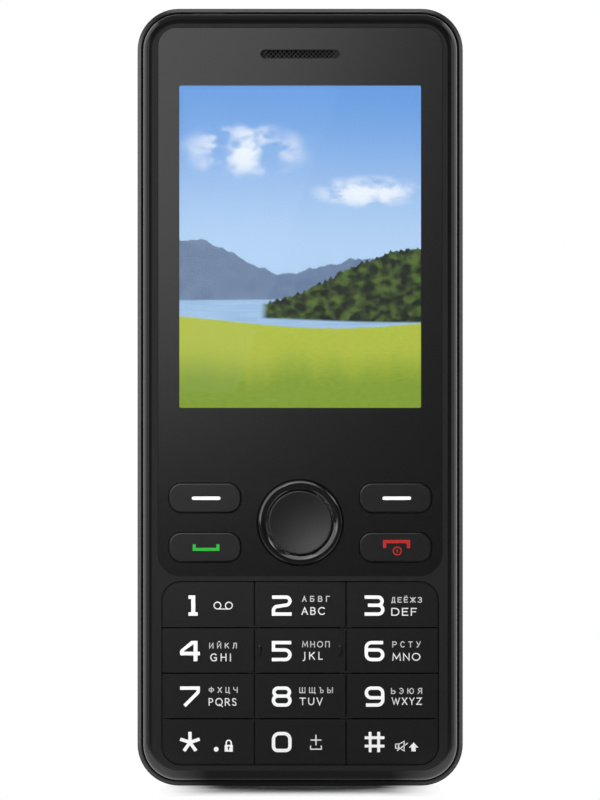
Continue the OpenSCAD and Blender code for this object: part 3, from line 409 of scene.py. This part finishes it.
# letters on a unit square: strokes as polylines, corners eased by a third number
LETTERS = {
    "A": [[(0, 0), (0.5, 1), (1, 0)], [(0.2, 0.36), (0.8, 0.36)]],
    "B": [[(0, 0), (0, 1), (0.9, 1, R), (0.9, 0.54, R), (0, 0.54)], BOWL],
    "C": [oval(0.56, 0.5, 0.56, 0.52, 48, 312)],
    "D": [[(0, 0), (0, 1), (1, 1, 0.5), (1, 0, 0.5), (0, 0)]],
    "E": [[(1, 1), (0, 1), (0, 0), (1, 0)], [(0, 0.52), (0.85, 0.52)]],
    "F": [[(1, 1), (0, 1), (0, 0)], [(0, 0.5), (0.85, 0.5)]],
    "G": [oval(0.54, 0.5, 0.54, 0.52, 50, 318), [(0.95, 0.1), (0.95, 0.45), (0.6, 0.45)]],
    "H": [[(0, 0), (0, 1)], [(1, 0), (1, 1)], [(0, 0.52), (1, 0.52)]],
    "I": [[(0.5, 0), (0.5, 1)]],
    "J": [[(0.8, 1), (0.8, -0.12, 0.4), (0, -0.2)]],
    "K": [[(0, 0), (0, 1)], [(0.95, 1), (0, 0.42)], [(0.32, 0.62), (1, 0)]],
    "L": [[(0, 1), (0, 0), (1, 0)]],
    "M": [[(0, 0), (0.08, 1), (0.5, 0.22), (0.92, 1), (1, 0)]],
    "N": [[(0, 0), (0, 1), (1, 0), (1, 1)]],
    "O": [oval(0.5, 0.5, 0.5, 0.52)],
    "P": [[(0, 0), (0, 1), (1, 1, R), (1, 0.45, R), (0, 0.45)]],
    "Q": [oval(0.5, 0.5, 0.5, 0.52), [(0.55, 0.12), (1.05, -0.2)]],
    "R": [[(0, 0), (0, 1), (0.9, 1, R), (0.9, 0.47, R), (0, 0.47)], [(0.45, 0.47), (1, 0)]],
    "S": [[(0.92, 0.9), (0.6, 1.03, 0.4), (0.02, 0.98, 0.3), (0.06, 0.56, 0.3), (0.96, 0.46, 0.3),
           (1, 0, 0.3), (0.4, -0.03, 0.4), (0, 0.1)]],
    "T": [[(0, 1), (1, 1)], [(0.5, 1), (0.5, 0)]],
    "U": [[(0, 1), (0, 0, 0.48), (1, 0, 0.48), (1, 1)]],
    "V": [[(0, 1), (0.5, 0), (1, 1)]],
    "W": [[(0, 1), (0.26, 0), (0.5, 0.9), (0.74, 0), (1, 1)]],
    "X": [[(0, 0), (1, 1)], [(0, 1), (1, 0)]],
    "Y": [[(0, 1), (0.5, 0.48), (1, 1)], [(0.5, 0.48), (0.5, 0)]],
    "Z": [[(0, 1), (1, 1), (0, 0), (1, 0)]],
    "Б": [[(0.9, 1), (0, 1), (0, 0), (1, 0, R), (1, 0.54, R), (0, 0.54)]],
    "Г": [[(0.9, 1), (0, 1), (0, 0)]],
    "Д": [[(0, -0.2), (0, 0), (1, 0), (1, -0.2)], [(0.16, 0), (0.3, 1), (0.85, 1), (0.85, 0)]],
    "Ё": [[(1, 1), (0, 1), (0, 0), (1, 0)], [(0, 0.52), (0.85, 0.52)],
          [(0.22, 1.3), (0.26, 1.3)], [(0.74, 1.3), (0.78, 1.3)]],
    "Ж": [[(0.5, 0), (0.5, 1)], [(0, 1), (0.46, 0.5), (0, 0)], [(1, 1), (0.54, 0.5), (1, 0)]],
    "З": [[(0, 0.9), (0.3, 1.02, 0.4), (0.94, 1, 0.3), (0.9, 0.53, R), (0.4, 0.53)],
          [(0.4, 0.53), (1, 0.53, R), (1, 0, 0.3), (0.3, -0.02, 0.4), (0, 0.1)]],
    "И": [[(0, 1), (0, 0), (1, 1), (1, 0)]],
    "Й": [[(0, 1), (0, 0), (1, 1), (1, 0)], [(0.3, 1.34), (0.5, 1.22), (0.7, 1.34)]],
    "Л": [[(0, 0), (0.2, 0.06, 0.2), (0.28, 1), (1, 1), (1, 0)]],
    "П": [[(0, 0), (0, 1), (1, 1), (1, 0)]],
    "У": [[(0, 1), (0.52, 0.36)], [(1, 1), (0.42, 0.1, 0.2), (0.12, 0)]],
    "Ф": [oval(0.5, 0.52, 0.5, 0.3), [(0.5, 0), (0.5, 1.04)]],
    "Ц": [[(0, 1), (0, 0), (1, 0), (1, -0.2)], [(0.84, 1), (0.84, 0)]],
    "Ч": [[(0, 1), (0, 0.5, 0.3), (1, 0.44)], [(1, 1), (1, 0)]],
    "Ш": [[(0, 1), (0, 0), (1, 0), (1, 1)], [(0.5, 1), (0.5, 0)]],
    "Щ": [[(0, 1), (0, 0), (1, 0), (1, -0.2)], [(0.45, 1), (0.45, 0)], [(0.9, 1), (0.9, 0)]],
    "Ъ": [[(0, 1), (0.26, 1), (0.26, 0), (1, 0, R), (1, 0.54, R), (0.26, 0.54)]],
    "Ы": [[(0, 1), (0, 0), (0.62, 0, R), (0.62, 0.54, R), (0, 0.54)], [(1, 0), (1, 1)]],
    "Ь": [[(0, 1), (0, 0), (1, 0, R), (1, 0.54, R), (0, 0.54)]],
    "Э": [oval(0.44, 0.5, 0.56, 0.52, 132, -132), [(0.4, 0.52), (1, 0.52)]],
    "Ю": [[(0, 0), (0, 1)], [(0, 0.52), (0.34, 0.52)], oval(0.67, 0.5, 0.33, 0.52)],
    "Я": [[(1, 0), (1, 1), (0.1, 1, R), (0.1, 0.47, R), (1, 0.47)], [(0.55, 0.47), (0, 0)]],
}
for twin, like in zip("АВЕКМНОРСТХ", "ABEKMHOPCTX"):
    LETTERS[twin] = LETTERS[like]
# widths of the letters, as shares of their height, where they aren't COMMON_SPAN
COMMON_SPAN = 0.75
SPAN = {"I": 0.12, "J": 0.4, "L": 0.55, "M": 0.98, "W": 1.15, "E": 0.58, "F": 0.56, "S": 0.58, "T": 0.78,
        "P": 0.6, "B": 0.62, "R": 0.68, "O": 0.98, "Q": 0.98, "G": 0.88, "C": 0.82, "Ж": 1.05, "Ш": 1.05,
        "Щ": 1.12, "Ю": 1.1, "Ы": 0.95, "Ф": 0.95, "М": 0.98, "О": 0.98}

# corner radius of the numerals
E = 0.3
# numerals on a unit square, drawn with a broad stroke
NUMERALS = {
    "2": [[(0.02, 1), (1, 1, E), (1, 0.56, E), (0, 0.42, E), (0, 0), (1, 0)]],
    "3": [[(0, 1), (0.96, 1, E), (0.96, 0.52, E), (0.2, 0.52)],
          [(0.2, 0.52), (1, 0.52, E), (1, 0, E), (0, 0)]],
    "5": [[(0.98, 1), (0, 1), (0, 0.57), (1, 0.57, E), (1, 0, E), (0, 0)]],
    "6": [[(0.92, 1), (0, 1, E), (0, 0, E), (1, 0, E), (1, 0.57, E), (0, 0.57)]],
    "7": [[(0, 1), (1, 1), (1, 0.76, 0.12), (0.24, 0.02)]],
    "8": [[(0.5, 0.53), (0.03, 0.53, E), (0.03, 1, E), (0.97, 1, E), (0.97, 0.53, E), (0.5, 0.53)],
          [(0.5, 0.53), (0, 0.53, E), (0, 0, E), (1, 0, E), (1, 0.53, E), (0.5, 0.53)]],
    "9": [[(0.08, 0), (1, 0, E), (1, 1, E), (0, 1, E), (0, 0.43, E), (1, 0.43)]],
    "0": [[(0.5, 0), (0, 0, 0.34), (0, 1, 0.34), (1, 1, 0.34), (1, 0, 0.34), (0.5, 0)]],
    "#": [[(0.24, 0), (0.24, 1)], [(0.74, 0), (0.74, 1)], [(0, 0.27), (1, 0.27)], [(0, 0.75), (1, 0.75)]],
    "*": [[(0.5, 0.48), (0.5 + 0.52 * math.cos(math.radians(a)), 0.48 + 0.52 * math.sin(math.radians(a)))]
          for a in (90, 162, 234, 306, 18)],
}


def fitted(strokes, x, y, wide, tall, width):
    """Strokes of a unit glyph drawn so that their outer edges fill a box."""
    shapes = []
    for points in strokes:
        placed = [(x + width / 2 + p[0] * (wide - width), y + width / 2 + p[1] * (tall - width),
                   *(r * (tall - width) for r in p[2:])) for p in points]
        shapes += stroke(placed, width)
    return shapes


# letters of a word widen by no more than this
WIDEST = 1.4


def word(text, x, y, wide, tall, width, space=None):
    """Letters of a word; with a space given they widen so that about that much is left between them."""
    sizes = [SPAN.get(c, COMMON_SPAN) * tall for c in text]
    if space:
        grow = min(WIDEST, max(1.0, (wide - space * (len(text) - 1)) / sum(sizes)))
        sizes = [grow * size for size in sizes]
    gap = (wide - sum(sizes)) / (len(text) - 1)
    shapes = []
    for c, size in zip(text, sizes):
        shapes += fitted(LETTERS[c], x, y, size, tall, width)
        x += size + gap
    return shapes


def disc(cx, cy, r):
    return [Vector(p) for p in oval(cx, cy, r, r)[:-1]]


def poly(*points):
    return [Vector(p) for p in points]


# the print is laid out in this unit, from the middle of each key
UNIT = 0.179 * MM
# the print sits a little to the right of the keys, and proud of their faces
PRINT_SHIFT = 0.1 * MM
PRINT_RISE = 0.02 * MM
# stroke widths of the numerals, the hash, the lower words and the upper words
BROAD = 3.4
HASH = 2.9
FINE = 1.08
FINEST = FINE - 0.16
# room between the letters of the lower words; wider on the 4 and 5 keys
SPACE = 2.2
WIDE_SPACE = 3.6
# left end, foot, width and height of a numeral
NUMERAL_BOX = (-28.9, -10.75, 19.8, 20.3)
# shift of the numerals in the right-hand column
RIGHT_SHIFT = 1.1
# numeral, then the upper and the lower word: text, left end, baseline, width and height of the capitals
KEY_WORDS = {
    "key_2": ("2", ("АБВГ", 1.4, 3.2, 28.2, 5.9), ("ABC", 0.7, -9.8, 23.8, 7.7)),
    "key_3": ("3", ("ДЕЁЖЗ", -1.1, 2.4, 30.6, 5.5), ("DEF", -1.2, -10.7, 25.6, 7.8)),
    "key_4": ("4", ("ИЙКЛ", 0.2, 2.0, 27.6, 5.7), ("GHI", 1.3, -10.8, 20.6, 7.8)),
    "key_5": ("5", ("МНОП", 1.4, 3.1, 27.6, 6.2), ("JKL", 1.9, -9.2, 20.0, 7.8)),
    "key_6": ("6", ("РСТУ", -0.2, 3.0, 28.4, 6.1), ("MNO", -0.2, -10.2, 28.1, 7.7)),
    "key_7": ("7", ("ФХЦЧ", -0.4, 3.1, 29.1, 5.9), ("PQRS", -0.4, -9.8, 27.9, 7.7)),
    "key_8": ("8", ("ШЩЪЫ", -1.5, 2.8, 33.6, 5.9), ("TUV", -1.3, -9.2, 23.3, 7.6)),
    "key_9": ("9", ("ЬЭЮЯ", -1.5, 2.0, 31.1, 6.0), ("WXYZ", -0.9, -8.9, 30.3, 7.4)),
}


def voicemail():
    left, right, level, radius = 8.45, 19.85, -0.55, 3.4
    rings = [piece for x in (left, right) for piece in stroke(oval(x, level, radius, radius), FINE)]
    return rings + stroke([(left, level - radius), (right, level - radius)], FINE, False)


def padlock():
    body = poly((15.6, -10.2), (23.8, -10.2), (23.8, -3.4), (15.6, -3.4))
    bow = stroke([(17.2, -3.6), *oval(19.7, -1.6, 2.5, 2.8, 180, 0), (22.2, -3.6)], 1.3, False)
    slit = poly((19.2, -8.6), (20.2, -8.6), (20.2, -6.2), (19.2, -6.2))
    return [body, *bow], [disc(19.7, -6.0, 1.1), slit]


def muted_speaker():
    box = [(3.1, -2.5), (5.9, -2.5), (5.9, -6.8), (3.1, -6.8), (3.1, -2.5)]
    cone = [(6.3, -2.8), (11.6, 0.2), (11.6, -9.3), (6.3, -6.0), (6.3, -2.8)]
    return stroke(box, 1.0) + stroke(cone, 1.0) + stroke([(4.9, -8.9), (14.8, -2.0)], 1.1)


def up_arrow():
    head = poly((21.1, -1.0), (25.8, -6), (16.4, -6))
    return [head, poly((18.9, -5.9), (23.2, -5.9), (23.2, -9.9), (18.9, -9.9))]


def numeral(c, width=BROAD):
    x, y, wide, tall = NUMERAL_BOX
    return fitted(NUMERALS[c], x + (RIGHT_SHIFT if c in "369#" else 0), y, wide, tall, width)


def four():
    """Broad numeral with a flat top and a slanted arm, and its opening."""
    x, y = NUMERAL_BOX[:2]
    outer = [(11.4, 20.3), (17.4, 20.3), (17.4, 9.5), (19.8, 9.5), (19.8, 5.9), (17.4, 5.9), (17.4, 0),
             (13.5, 0), (13.5, 5.9), (0.9, 5.9), (0, 6.8), (0, 10.2), (0.8, 11.6)]
    inner = [(13.5, 17.2), (13.5, 9.5), (4.2, 9.5), (4.0, 10.3)]
    return [[poly(*((x + a, y + b) for a, b in side))] for side in (outer, inner)]


def legend(key):
    """Print of a key: ink, shapes and holes of each part."""
    if key == "key_1":
        one = [poly((-20.5, 9.6), (-13.7, 9.6), (-13.7, 6.1), (-20.5, 6.1)),
               poly((-17.7, 9.6), (-13.7, 9.6), (-13.7, -10.7), (-17.7, -10.7)),
               poly((-20.5, -7.3), (-11.2, -7.3), (-11.2, -10.7), (-20.5, -10.7))]
        return [(WHITE, one, []), (PALE, voicemail(), [])]
    if key == "key_star":
        shapes, holes = padlock()
        return [(WHITE, numeral("*"), []), (WHITE, [disc(7.2, -7.8, 2.4)], []), (WHITE, shapes, holes)]
    if key == "key_0":
        plus = stroke([(9.8, 1.4), (20.6, 1.4)], 1.3, False) + stroke([(15.2, -4), (15.2, 6.7)], 1.3, False)
        tray = stroke([(9.8, -4.8), (9.8, -7.7), (20.6, -7.7), (20.6, -4.8)], 1.2)
        return [(WHITE, numeral("0"), []), (PALE, plus, []), (PALE, tray, [])]
    if key == "key_hash":
        return [(WHITE, numeral("#", HASH), []), (PALE, muted_speaker(), []), (WHITE, up_arrow(), [])]
    if key.startswith("soft_key"):
        ends = [(-11.9, -0.2), (13.4, -0.2)]
        bar = stroke(ends, BROAD, False) + [disc(*end, BROAD / 2) for end in ends]
        return [(WHITE, bar, [])]
    if key == "call_key":
        return [(GREEN, stroke([(-11.2, 1.5), (-11.2, -2), (12.5, -2), (12.5, 1.5)], 3.1), [])]
    if key == "end_key":
        hook = stroke([(-11.3, 1), (-11.3, 5.8), (12.4, 5.8), (12.4, 1)], 3.3)
        sign = stroke(oval(1.2, -3.5, 3.9, 3.9), 1.2) + stroke([(1.2, -4.6), (1.2, -2.4)], 1.2)
        return [(RED, hook, []), (RED, sign, [])]
    c, upper, lower = KEY_WORDS[key]
    shapes, holes = four() if c == "4" else (numeral(c), [])
    return [(WHITE, shapes, holes),
            (FAINT, word(*upper, FINEST), []),
            (PALE, word(*lower, FINE, WIDE_SPACE if c in "45" else SPACE), [])]


# the number keys stand in a grid, by column from the middle and by row from the foot
COLUMN_PITCH = 16.4 * MM
ROW_PITCH = 8.13 * MM
KEYPAD_FOOT = 3.9 * MM
KEY_FACE_Y = -6.175 * MM
GRID = {"key_" + name: (column, row)
        for row, names in enumerate(("star 0 hash", "7 8 9", "4 5 6", "1 2 3"))
        for column, name in zip((-1, 0, 1), names.split())}
for key in [*KEY_WORDS, "key_1", "key_star", "key_0", "key_hash", "soft_key_left", "soft_key_right",
            "call_key", "end_key"]:
    lo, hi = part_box(key)
    centre = ((lo.x + hi.x) / 2, (lo.z + hi.z) / 2)
    face_y = lo.y
    if key in GRID:
        column, row = GRID[key]
        centre = (column * COLUMN_PITCH, KEYPAD_FOOT + (row + 0.5) * ROW_PITCH)
        face_y = KEY_FACE_Y
    centre = (centre[0] + PRINT_SHIFT, centre[1])
    piece = prism("legend_" + key, legend(key), UNIT, centre, face_y, PRINT_RISE)
    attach(piece, key)


def weave(name, node):
    """Woven wire in the earpiece slot: two slanted sets of wires that pass over and under."""
    lo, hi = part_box(node)
    mid = (lo + hi) / 2
    half_w = (hi.x - lo.x) / 2
    half_h = (hi.z - lo.z) / 2
    pitch = 0.8 * MM
    wire = 0.07 * MM
    sway = 0.078 * MM
    level = lo.y + wire + sway
    sides = 6
    steps = 32
    least_points = 6
    verts = []
    faces = []
    for slant in (1, -1):
        count = int((half_w + half_h) / pitch) + 1
        for k in range(-count, count + 1):
            foot = k * pitch
            line = []
            for i in range(-steps, steps + 1):
                t = half_h * i / steps
                x = foot + slant * t
                inner = max(0.0, abs(x) - (half_w - half_h))
                if inner * inner + t * t > half_h * half_h:
                    continue
                phase = math.pi * (foot + 2 * slant * t) / pitch
                line.append(Vector((mid.x + x, level + slant * sway * math.cos(phase), mid.z + t)))
            if len(line) < least_points:
                continue
            at = len(verts)
            for j, p in enumerate(line):
                run = (line[min(j + 1, len(line) - 1)] - line[max(j - 1, 0)]).normalized()
                across = run.cross(Vector((0, 1, 0))).normalized()
                out = across.cross(run)
                for s in range(sides):
                    a = math.tau * s / sides
                    verts.append(p + wire * (math.cos(a) * across + math.sin(a) * out))
            last = len(line) - 1
            for j in range(last):
                for s in range(sides):
                    n = (s + 1) % sides
                    a, b = at + j * sides, at + (j + 1) * sides
                    faces.append((a + s, a + n, b + n, b + s))
            faces.append([at + s for s in range(sides)][::-1])
            faces.append([at + last * sides + s for s in range(sides)])
    mesh = bpy.data.meshes.new(name)
    mesh.from_pydata(verts, [], faces)
    mesh.polygons.foreach_set("use_smooth", [True] * len(faces))
    mesh.materials.append(LOOKS["mesh_steel"])
    return link(bpy.data.objects.new(name, mesh))


grille = weave("earpiece_weave", "earpiece_mesh")
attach(grille, "phone")
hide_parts("earpiece_mesh")


def sheet(name, corners, mat):
    mesh = bpy.data.meshes.new(name)
    mesh.from_pydata(corners, [], [(0, 1, 2, 3)])
    mesh.materials.append(mat)
    obj = link(bpy.data.objects.new(name, mesh))
    return obj


def seen_ray(tree):
    """1 for rays that show the background: camera, glossy and transmission."""
    path = tree.nodes.new("ShaderNodeLightPath")
    seen = path.outputs["Is Camera Ray"]
    for kind in ("Is Glossy Ray", "Is Transmission Ray"):
        either = tree.nodes.new("ShaderNodeMath")
        either.operation = "MAXIMUM"
        tree.links.new(seen, either.inputs[0])
        tree.links.new(path.outputs[kind], either.inputs[1])
        seen = either.outputs[0]
    return seen


# share of the white floor that reflections see inside the shadow
FLOOR_SHEEN = 0.16
# where the floor fades into the background, to the sides and to the front and back, in metres
FADE_ASIDE = (0.013, 0.026)
FADE_AHEAD = (0.07, 0.15)


def floor_look():
    """Matt pale floor that keeps the shadow and fades into the white background further out."""
    sh = Shader("floor")
    sh.set(Base_Color=sh.mix(sh.noise(40), (0.79, 0.79, 0.79, 1), (0.82, 0.82, 0.82, 1)))
    sh.set(Roughness=sh.ramp(sh.noise(60), *NOISE_BAND, 0.85, 0.95), Specular_IOR_Level=0.0)
    split = sh.add("ShaderNodeSeparateXYZ")
    sh.feed(split.inputs[0], sh.place)
    aside = sh.ramp(sh.math("ABSOLUTE", split.outputs["X"]), *FADE_ASIDE, kind="SMOOTHSTEP")
    ahead = sh.ramp(sh.math("ABSOLUTE", split.outputs["Y"]), *FADE_AHEAD, kind="SMOOTHSTEP")
    fade = sh.math("MAXIMUM", aside, ahead)
    path = sh.add("ShaderNodeLightPath")
    sheen = sh.math("MULTIPLY", path.outputs["Is Glossy Ray"], FLOOR_SHEEN)
    glow = sh.add("ShaderNodeEmission")
    pick = sh.add("ShaderNodeMixShader")
    sh.feed(pick.inputs["Fac"], sh.math("MAXIMUM", sh.math("MULTIPLY", fade, seen_ray(sh.tree)), sheen))
    sh.feed(pick.inputs[1], sh.bsdf.outputs[0])
    sh.feed(pick.inputs[2], glow.outputs[0])
    sh.feed(sh.tree.nodes["Material Output"].inputs["Surface"], pick.outputs[0])
    return sh.mat


def dim_card(name, corners, glow):
    """Dark card that only reflections see."""
    look = surface(name, (0.003, 0.003, 0.003), 0.9, 50, 0.01 * MM, Emission_Color=(1, 1, 1, 1),
                   Emission_Strength=glow)
    card = sheet(name, corners, look)
    card.visible_camera = False
    card.visible_diffuse = False
    card.visible_transmission = False
    card.visible_shadow = False


def lamp(name, place, target, wide, tall, watts, only=(), spare=(), mirrored=True):
    """Soft lamp that lights only some objects, or all but some; reflections may leave it out."""
    data = bpy.data.lights.new(name, "AREA")
    data.shape = "RECTANGLE"
    data.size = wide
    data.size_y = tall
    data.energy = watts
    obj = link(bpy.data.objects.new(name, data))
    obj.location = place
    obj.rotation_mode = "QUATERNION"
    obj.rotation_quaternion = (Vector(target) - Vector(place)).to_track_quat("-Z", "Y")
    obj.visible_camera = False
    obj.visible_glossy = mirrored
    lit = bpy.data.collections.new(name + "_lit")
    for other in [*only, *spare]:
        lit.objects.link(other)
    for entry in lit.collection_objects:
        entry.light_linking.link_state = "INCLUDE" if only else "EXCLUDE"
    obj.light_linking.receiver_collection = lit


# what the world gives as light, and how it is seen
WORLD_LIGHT = 0.01
WORLD_SEEN = 1.0


def set_world():
    world = bpy.data.worlds.new("studio")
    scene.world = world
    world.use_nodes = True
    tree = world.node_tree
    tree.nodes.clear()
    pick = tree.nodes.new("ShaderNodeMixShader")
    tree.links.new(seen_ray(tree), pick.inputs["Fac"])
    for slot, level in ((1, WORLD_LIGHT), (2, WORLD_SEEN)):
        sky = tree.nodes.new("ShaderNodeBackground")
        sky.inputs["Color"].default_value = (level, level, level, 1)
        tree.links.new(sky.outputs[0], pick.inputs[slot])
    out = tree.nodes.new("ShaderNodeOutputWorld")
    tree.links.new(pick.outputs[0], out.inputs["Surface"])


set_world()
FLOOR = 3.0
floor = sheet("floor", [(-FLOOR, -FLOOR, 0), (FLOOR, -FLOOR, 0), (FLOOR, FLOOR, 0), (-FLOOR, FLOOR, 0)],
              floor_look())
# the cards stand around the front of the object, in metres
ASIDE, AHEAD, ABOVE = 1.2, -1.05, 1.6
SIDE_END = -0.25
LOW, LOW_END = 0.0004, -0.03
dim_card("card_front", [(-ASIDE, AHEAD, 0), (ASIDE, AHEAD, 0), (ASIDE, AHEAD, ABOVE),
                        (-ASIDE, AHEAD, ABOVE)], 0.06)
dim_card("card_top", [(-ASIDE, AHEAD, ABOVE), (ASIDE, AHEAD, ABOVE), (ASIDE, FLOOR, ABOVE),
                      (-ASIDE, FLOOR, ABOVE)], 0.18)
for side in (-1, 1):
    x = ASIDE * side
    dim_card("card_side_%d" % side, [(x, AHEAD, 0), (x, SIDE_END, 0), (x, SIDE_END, ABOVE),
                                     (x, AHEAD, ABOVE)], 0.06)
dim_card("card_floor", [(-ASIDE, AHEAD, LOW), (ASIDE, AHEAD, LOW), (ASIDE, LOW_END, LOW),
                        (-ASIDE, LOW_END, LOW)], 0.10)
MIDDLE = (0.0, 0.0, 0.07)
RING_MIDDLE = (0.0, 0.0, 0.047)
FRAME = nodes["front_housing"]
COVER = nodes["rear_cover"]
RING = nodes["nav_ring"]
# name, place, target, width, height and watts
lamp("key", (-0.091, -0.15, 0.186), MIDDLE, 0.277, 0.277, 0.78, spare=[floor, FRAME, COVER, RING])
lamp("soft", (-0.12, -0.25, 0.20), MIDDLE, 0.24, 0.24, 0.40, spare=[floor], mirrored=False)
lamp("fill", (0.0, -1.0, 0.15), MIDDLE, 0.35, 0.30, 0.09, spare=[floor, RING, FRAME])
lamp("frame_front", (-0.10, -1.0, 0.09), MIDDLE, 0.35, 0.34, 0.185, only=[FRAME])
lamp("frame_left", (-0.75, -0.42, 0.07), MIDDLE, 0.35, 0.60, 0.42, only=[FRAME])
lamp("frame_right", (0.75, -0.42, 0.07), MIDDLE, 0.35, 0.60, 0.50, only=[FRAME])
lamp("left", (-0.60, 0.0, 0.07), MIDDLE, 0.50, 0.50, 1.95, only=[COVER])
lamp("right", (0.60, 0.0, 0.07), MIDDLE, 0.50, 0.50, 0.9, only=[COVER])
lamp("top", (0.0, 0.0, 0.70), MIDDLE, 0.40, 0.40, 1.2, only=[COVER])
lamp("rear", (0.15, 0.70, 0.35), MIDDLE, 0.60, 0.50, 2.6, spare=[floor, FRAME])
lamp("ring_left", (-0.50, -0.95, 0.05), RING_MIDDLE, 0.75, 0.25, 0.88, only=[RING])
lamp("ring_top", (0.0, -0.35, 0.60), RING_MIDDLE, 0.50, 0.80, 2.25, only=[RING])
lamp("ring_side", (-0.46, -0.42, 0.42), RING_MIDDLE, 0.90, 0.80, 3.8, only=[RING])
lamp("ring_spark", (0.34, -0.28, 0.29), RING_MIDDLE, 0.24, 0.12, 0.31, only=[RING])
lamp("ground", (0.0, 0.34, 0.60), (0.0, 0.34, 0.0), 0.40, 0.25, 10.5, only=[floor])

# the camera looks straight at the front from this far, in metres
DISTANCE = 4.5
SENSOR = 36.0
VIEW_TALL = 143.2 * MM
VIEW_X, VIEW_Z = -0.03 * MM, 69.0 * MM
camera_data = bpy.data.cameras.new("camera")
camera_data.sensor_width = SENSOR
camera_data.lens = SENSOR * DISTANCE / VIEW_TALL
camera_data.clip_end = 50.0
camera = link(bpy.data.objects.new("camera", camera_data))
camera.location = (VIEW_X, -DISTANCE, VIEW_Z)
camera.rotation_euler = (math.pi / 2, 0.0, 0.0)
scene.camera = camera
